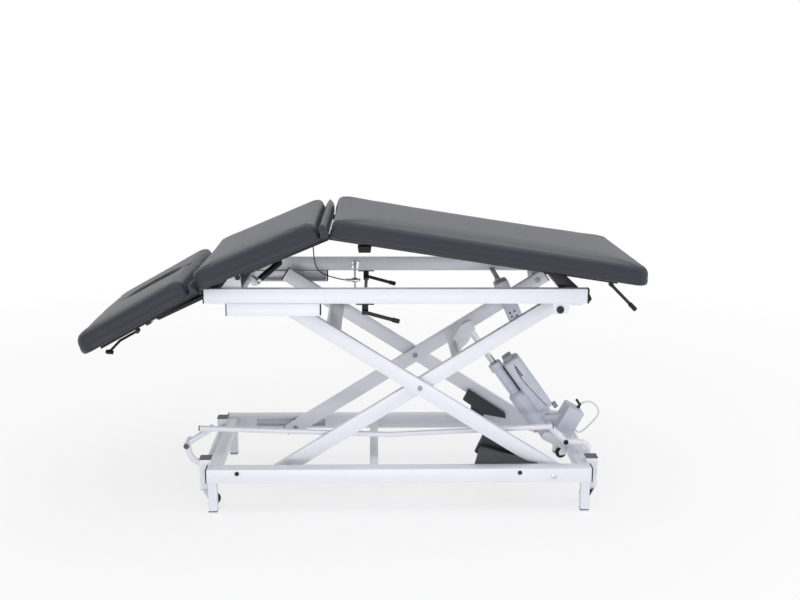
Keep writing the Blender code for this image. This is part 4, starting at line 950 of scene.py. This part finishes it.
class TABLE_OT_bolts(bpy.types.Operator):
    """Puts the visible bolt heads on the frame"""

    bl_idname = "treatment_table.bolts"
    bl_label = "Bolts"

    def execute(self, context):
        size = sizes().bolt
        outside, inside = 0.313, 0.1924
        on_arms = [
            *both_sides(ARM_RIGHT, inside, ARM_TOP, -1), *both_sides(ARM_LEFT, inside, BASE_Z, -1),
            *both_sides(CROSS_X, inside, CROSS_Z, -1)]
        rows = (
            ("base_bolts", both_sides(-0.4265, outside, 0.149) + both_sides(0.539, outside, 0.149),
             (size, 0.0034), "black", "base", "black_paint"),
            ("lift_pivot_bolts", both_sides(ARM_RIGHT, outside, 0.134),
             (size * 1.25, 0.003, 0.4), "steel", "base", "steel"),
            ("top_pivot_bolts", both_sides(ARM_RIGHT, 0.311, ARM_TOP),
             (0.0125, 0.005, 0.42), "black", "top_frame", "black_paint"),
            ("lug_pins", both_sides(-0.408, 0.295, 0.825),
             (0.009, 0.004), "black", "top_frame", "black_paint"),
            ("centre_bolts", both_sides(CROSS_X, 0.243, CROSS_Z),
             (0.0085, 0.0032), "zinc", "outer_arms", "steel"),
            ("inner_arm_bolts", on_arms, (0.0098, 0.0036, 0.45), "zinc", "inner_arms", "steel"),
        )
        for name, spots, shape, kind, body, slot in rows:
            carry(bolts(name, spots, *shape), kind, body)
        return {"FINISHED"}


class TABLE_OT_wheels(bpy.types.Operator):
    """Makes the castor wheels with a rounded tyre and a hub"""

    bl_idname = "treatment_table.wheels"
    bl_label = "Castor wheels"

    def execute(self, context):
        places = [
            Matrix.Translation((x, y, AXLE_Z)) @ Matrix.Rotation(math.radians(turn), 4, "Z")
            for which, x, y, turn in CASTORS]
        for (which, *_), place, tyre in zip(CASTORS, places, copied(self.tyre(), places)):
            tyre.name = f"castor_tyre_{which}"
            carry(tyre, "rubber", f"wheel_{which}", (f"castor_wheel_{which}",))
            spots = [
                (place @ Vector((0, side * 0.0076, 0)), place.to_3x3() @ Vector((0, side, 0)))
                for side in SIDES]
            hub = bolts(f"castor_hub_{which}", spots, 0.0070, 0.0018)
            carry(hub, "pale", f"wheel_{which}")
        return {"FINISHED"}

    def tyre(self):
        """A tyre with a sunk web and a raised boss on each face."""
        made = barrel("tyre", (0, -0.009, 0), (0, 0.009, 0), 0.0215, 48, 0.0055, 5)
        for side in SIDES:
            with editing(made):
                pick_end(made, (0, side, 0))
                for thickness, depth in ((0.0025, 0), (0.0008, -0.0022), (0.0035, 0), (0.0006, 0.0014)):
                    bpy.ops.mesh.inset(thickness=thickness, depth=depth)
        return smooth(made)


# The actuator's lower pivot and its two directions in the side view, and the middle of the power box
ACTUATOR_FOOT = Vector((0.672, 0, 0.1785))
ACTUATOR_ALONG = Vector((-0.58344, 0, 0.81215))
ACTUATOR_ACROSS = Vector((0.81215, 0, 0.58344))
POWER_BOX = Vector((0.756, 0, 0.240))
POWER_BOX_TURN = math.radians(28)

# Half the width of the motor's cover
COVER_SIDE = 0.0337


def on_actuator(along, across, y=0.0):
    """A point given by its distances along and across the actuator."""
    return ACTUATOR_FOOT + ACTUATOR_ALONG * along + ACTUATOR_ACROSS * across + Vector((0, y, 0))


def actuator_block(low, high, radius, segments=3):
    """A box whose sides follow the actuator, between two corners (along, across, y)."""
    low, high = Vector(low), Vector(high)
    made = block("block", (low.y, low.z, low.x), (high.y, high.z, high.x), radius, segments)
    turn = Matrix((ACTUATOR_ACROSS, (0, 1, 0), ACTUATOR_ALONG)).transposed().to_4x4()
    made.matrix_world = Matrix.Translation(ACTUATOR_FOOT) @ turn
    return settle(made)


class TABLE_OT_motor(bpy.types.Operator):
    """Adds the motor's cover, seams, vents and rings, and the power box's seams and plugs"""

    bl_idname = "treatment_table.motor"
    bl_label = "Motor trim"

    def execute(self, context):
        self.cover()
        self.sleeve()
        self.box_trim()
        return {"FINISHED"}

    def fit(self, name, pieces, kind, slot):
        carry(gathered(name, pieces), kind, "motor_unit")

    def cover(self):
        shell = actuator_block((0.090, 0.0245, -0.0338), (0.3165, 0.0892, 0.0338), 0.013, 6)
        self.fit("motor_cover", [shell], "grey", "grey_plastic")
        cap = actuator_block((0.309, 0.034, -0.021), (0.3345, 0.0705, 0.021), 0.005, 4)
        gland = barrel("gland", on_actuator(0.073, 0.084), on_actuator(0.073, 0.1005), 0.0125, 32, 0.0025)
        self.fit("motor_cap", [cap, gland], "mid_grey", "grey_plastic")
        line = (
            (0.297, 0.060), (0.2894, 0.0575), (0.250, 0.0505), (0.2045, 0.0532), (0.150, 0.060),
            (0.098, 0.068))
        route = smooth_route([on_actuator(*spot) for spot in line], 5)
        seams = copied(tube("seam", route, 0.0012, 2), beside(0, COVER_SIDE, 0))
        vent = actuator_block((0, -0.0042, -0.0012), (0.0056, 0.0042, 0.0012), 0.0008, 2)
        seams += copied(vent, [
            on_actuator(0.2445 + 0.0090 * step, 0.0575, side * COVER_SIDE) - ACTUATOR_FOOT
            for step in range(5) for side in SIDES])
        self.fit("motor_vents", seams, "rubber", "dark_plastic")

    def sleeve(self):
        """A dark block as painted shade between the motor and the tube, and the tube's rings: start, end,
        radius and rim.
        """
        # Painted shade: a dark plastic block fills the shaded strip between the motor and the tube
        painted_shade_block = actuator_block((0.196, 0.0185, -0.012), (0.304, 0.0250, 0.012), 0.0015)
        self.fit("actuator_painted_shade", [painted_shade_block], "dark", "dark_plastic")
        rows = (
            (0.1885, 0.1960, 0.0262, 0.0012), (0.3085, 0.3135, 0.0252, 0.0010),
            (0.3328, 0.3362, 0.0215, 0.0010))
        rings = [
            barrel("ring", on_actuator(start, 0), on_actuator(end, 0), radius, 40, rim)
            for start, end, radius, rim in rows]
        self.fit("actuator_rings", rings, "grey", "grey_plastic")

    def box_trim(self):
        place = Matrix.Translation(POWER_BOX) @ Matrix.Rotation(POWER_BOX_TURN, 4, "Y")
        seam = block("seam", (-0.030, -0.0008, -0.0011), (0.030, 0.0008, 0.0011), 0.0005, 2)
        spots = beside(0, 0.0308, -0.021) + beside(0, 0.0308, 0.021)
        made = copied(seam, [place @ Matrix.Translation(spot) for spot in spots])
        self.fit("power_box_seams", made, "dark", "dark_plastic")
        relief = self.relief()
        clip = barrel("clip", (0.7845, 0.004, 0.3105), (0.8000, 0.004, 0.2880), 0.0048, 24, 0.0016)
        self.fit("motor_lead_plug", [relief, clip], "dark", "dark_plastic")

    def relief(self):
        """The tapered sleeve where the lead leaves the power box."""
        start, end = Vector(MOTOR_ROUTE[0]), Vector(MOTOR_ROUTE[1])
        along = (end - start).normalized()
        made = barrel("relief", start, end + along * 0.004, 0.0066, 24)
        with editing(made):
            pick_end(made, along)
            bpy.ops.transform.resize(value=(0.62, 0.62, 0.62))
            bpy.ops.mesh.region_to_loop()
            bevel(0.0009, 2)
        return smooth(made)


class TABLE_OT_control(bpy.types.Operator):
    """Gives the control box its sockets"""

    bl_idname = "treatment_table.control"
    bl_label = "Control box sockets"

    def execute(self, context):
        places = ((0.5529, 0.6343), (0.5366, 0.6269), (0.5625, 0.6175), (0.5443, 0.6137), (0.5555, 0.6081))
        made = bolts("control_sockets", [((x, 0.045, z), (0, -1, 0)) for x, z in places], 0.0036, 0.0012, 0.6)
        carry(made, "dark", "top_frame")
        return {"FINISHED"}


class TABLE_OT_springs(bpy.types.Operator):
    """Adds the gas springs' end fittings"""

    bl_idname = "treatment_table.springs"
    bl_label = "Gas spring ends"

    def execute(self, context):
        pivot = Vector((-0.3815, 0, 0.749)), Vector((-0.25084, 0, 0.85912))
        head = Vector((-0.48073, -0.110, 0.75815)), Vector((-0.74396, -0.110, 0.63305))
        rows = (
            ("pivot_spring_sleeve", pivot, (0.012, 0.024), (0.01245, 36, 0.0012),
             "steel", "pivot_cylinder", "steel"),
            ("pivot_spring_gland", pivot, (0.1145, 0.1205), (0.0088, 32, 0.0015),
             "rubber", "pivot_cylinder", "black_rubber"),
            ("head_spring_gland", head, (0.2545, 0.2595), (0.0085, 32, 0.0015),
             "rubber", "head_cylinder", "black_rubber"),
        )
        for name, (foot, tip), reach, shape, kind, body, slot in rows:
            along = (tip - foot).normalized()
            made = barrel(name, foot + along * reach[0], foot + along * reach[1], *shape)
            carry(made, kind, body)
        return {"FINISHED"}


class TABLE_OT_grips(bpy.types.Operator):
    """Puts grips and knobs on the levers and caps on the pedal and the foot rail"""

    bl_idname = "treatment_table.grips"
    bl_label = "Grips and pedal caps"

    def execute(self, context):
        self.levers()
        self.pedals()
        return {"FINISHED"}

    def levers(self):
        shaft, reach = Vector((0.0105, 0, 0.712)), Vector((0.110, 0, -0.030))
        grip = self.grip(shaft + reach * 0.80, shaft + reach * 1.035, 0.0080)
        made = copied(grip, beside(0, 0.317, 0))
        carry(gathered("release_grips", made), "rubber", "release_handle")
        place, slope = Vector((0.8393, -0.2374, 0.78943)), self.downhill(45)
        grip = self.grip(place + slope * 0.092, place + slope * 0.1245, 0.0078)
        carry(gathered("end_lever_grip", [grip]), "rubber", "end_handle")
        place = Vector((-0.75464, -0.2374, 0.63163))
        elbow = place - Vector((math.cos(HEAD_TILT), 0, math.sin(HEAD_TILT))) * 0.070
        tip = elbow + self.downhill(46, -1) * 0.055
        knobs = [
            self.grip(tip + Vector((-0.012, 0, 0.002)), tip + Vector((0.014, 0, -0.002)), 0.0072),
            self.grip(tip + Vector((0, -0.013, 0.001)), tip + Vector((0, 0.013, 0.001)), 0.0062)]
        carry(gathered("head_lever_knobs", knobs), "rubber", "head_handle")

    def pedals(self):
        bar = Vector((-0.6153, 0, 0.204))
        spots = [(bar + Vector((0, y, 0)), (0, toward, 0)) for y, toward in ((-0.190, -1), (-0.118, 1))]
        carry(bolts("left_pedal_caps", spots, 0.0104, 0.003), "lid", "left_pedal")
        pin = bolts("right_pedal_pin", [((0.7193, -0.1712, 0.2070), (0, -1, 0))], 0.0090, 0.004)
        carry(pin, "black", "right_pedal")
        left, right = Vector((-0.568, -0.182, 0.267)), Vector((0.6673, -0.182, 0.270))
        dip = Vector(((left.x + right.x) / 2 + 0.045, -0.182, left.z - 0.025))
        spots = [(end, (end - dip).normalized()) for end in (left, right)]
        caps = bolts("foot_rail_caps", spots, 0.0101, 0.0032, 0.7)
        carry(caps, "rubber", "foot_bar")

    def downhill(self, angle, ahead=1):
        """The direction that falls at an angle in degrees towards the foot end, or towards the head end."""
        angle = math.radians(angle)
        return Vector((ahead * math.cos(angle), 0, -math.sin(angle)))

    def grip(self, start, end, radius):
        return barrel("grip", start, end, radius, 28, radius * 0.45, 4)


class TABLE_OT_webs(bpy.types.Operator):
    """Makes the vinyl webs that close the gaps between the cushions, and the bumper"""

    bl_idname = "treatment_table.webs"
    bl_label = "Webs between cushions"

    def execute(self, context):
        webs = (
            ("peak_web", (-0.1305, 0, 0.9585), (-0.1080, 0, 0.9625), "mid_section", "long_section",
             ((0.0005, 0.0265, 0.018), (-0.0020, 0.0270, 0.033), (0.0005, 0.0045, 0.0470))),
            ("head_web", (-0.5560, 0, 0.7725), (-0.5350, 0, 0.7838), "head_section", "mid_section",
             ((0.0, 0.018, 0.014), (-0.001, 0.012, 0.026), (-0.001, 0.005, 0.034))),
        )
        for name, left, right, before, after, rows in webs:
            left, right = Vector(left), Vector(right)
            made = self.web(name, left, right, rows, 0.338)
            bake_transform(made)
        bumper = tapered(
            "bumper", (-0.0145, -0.262, 0.9010), (0.0320, -0.224, 0.9240), (0, 0, -1), (0.86, 0.90, 1),
            0.0025, 3)
        carry(bumper, "rubber", "long_section")
        return {"FINISHED"}

    def web(self, name, left, right, rows, half):
        """A strip of vinyl folded up between two cushions' lower edges.

        The rows give its shift, width and height at each fold.
        """
        wide = (right - left).length
        made = block(name, (-wide / 2, -half, 0), (wide / 2, half, 0.006))
        with editing(made):
            shift, height = 0.0, 0.006
            for aside, width, level in rows:
                top = max(vertex.co.z for vertex in made.data.vertices)
                pick(made, lambda face: face.normal.z > 0.9 and face.center.z > top - 0.0001)
                move = (aside - shift, 0, level - height)
                bpy.ops.mesh.extrude_region_move(TRANSFORM_OT_translate={"value": move})
                bpy.ops.transform.resize(value=(width / wide, 1, 1))
                wide, shift, height = width, aside, level
        with editing(made, "EDGE"):
            bpy.ops.mesh.select_all(action="SELECT")
            bevel(0.0012, 2)
        subdivide(made, 2)
        lean = math.atan2(right.z - left.z, right.x - left.x)
        made.matrix_world = Matrix.Translation((left + right) / 2) @ Matrix.Rotation(-lean, 4, "Y")
        settle(made)
        made.data.shade_smooth()
        made.data.materials.clear()
        made.data.materials.append(finish("vinyl"))
        return made


class TABLE_PT_looks(bpy.types.Panel):
    """Lists the operators that dress the table"""

    bl_label = "Treatment table"
    bl_idname = "TABLE_PT_looks"
    bl_space_type = "VIEW_3D"
    bl_region_type = "UI"
    bl_category = "Treatment table"

    def draw(self, context):
        for group in (context.scene.table_colours, context.scene.table_sizes, context.scene.stage_look):
            column = self.layout.column()
            for key in group.__annotations__:
                column.prop(group, key)
        for made in CLASSES:
            if issubclass(made, bpy.types.Operator):
                self.layout.operator(made.bl_idname)


CLASSES = (
    TableColours,
    TableSizes,
    StageLook,
    TABLE_OT_stage,
    TABLE_OT_dress,
    TABLE_OT_cushions,
    TABLE_OT_cables,
    TABLE_OT_caps,
    TABLE_OT_bolts,
    TABLE_OT_wheels,
    TABLE_OT_motor,
    TABLE_OT_control,
    TABLE_OT_springs,
    TABLE_OT_grips,
    TABLE_OT_webs,
    TABLE_PT_looks,
)


def register():
    for made in CLASSES:
        bpy.utils.register_class(made)
    bpy.types.Scene.table_colours = bpy.props.PointerProperty(type=TableColours)
    bpy.types.Scene.table_sizes = bpy.props.PointerProperty(type=TableSizes)
    bpy.types.Scene.stage_look = bpy.props.PointerProperty(type=StageLook)


def unregister():
    del bpy.types.Scene.table_colours
    del bpy.types.Scene.table_sizes
    del bpy.types.Scene.stage_look
    for made in reversed(CLASSES):
        bpy.utils.unregister_class(made)


def main():
    register()
    bpy.ops.treatment_table.stage()
    bpy.ops.treatment_table.cables()
    bpy.ops.treatment_table.dress()
    bpy.ops.treatment_table.cushions()
    bpy.ops.treatment_table.webs()
    bpy.ops.treatment_table.caps()
    bpy.ops.treatment_table.bolts()
    bpy.ops.treatment_table.wheels()
    bpy.ops.treatment_table.motor()
    bpy.ops.treatment_table.control()
    bpy.ops.treatment_table.springs()
    bpy.ops.treatment_table.grips()


if __name__ == "__main__":
    main()
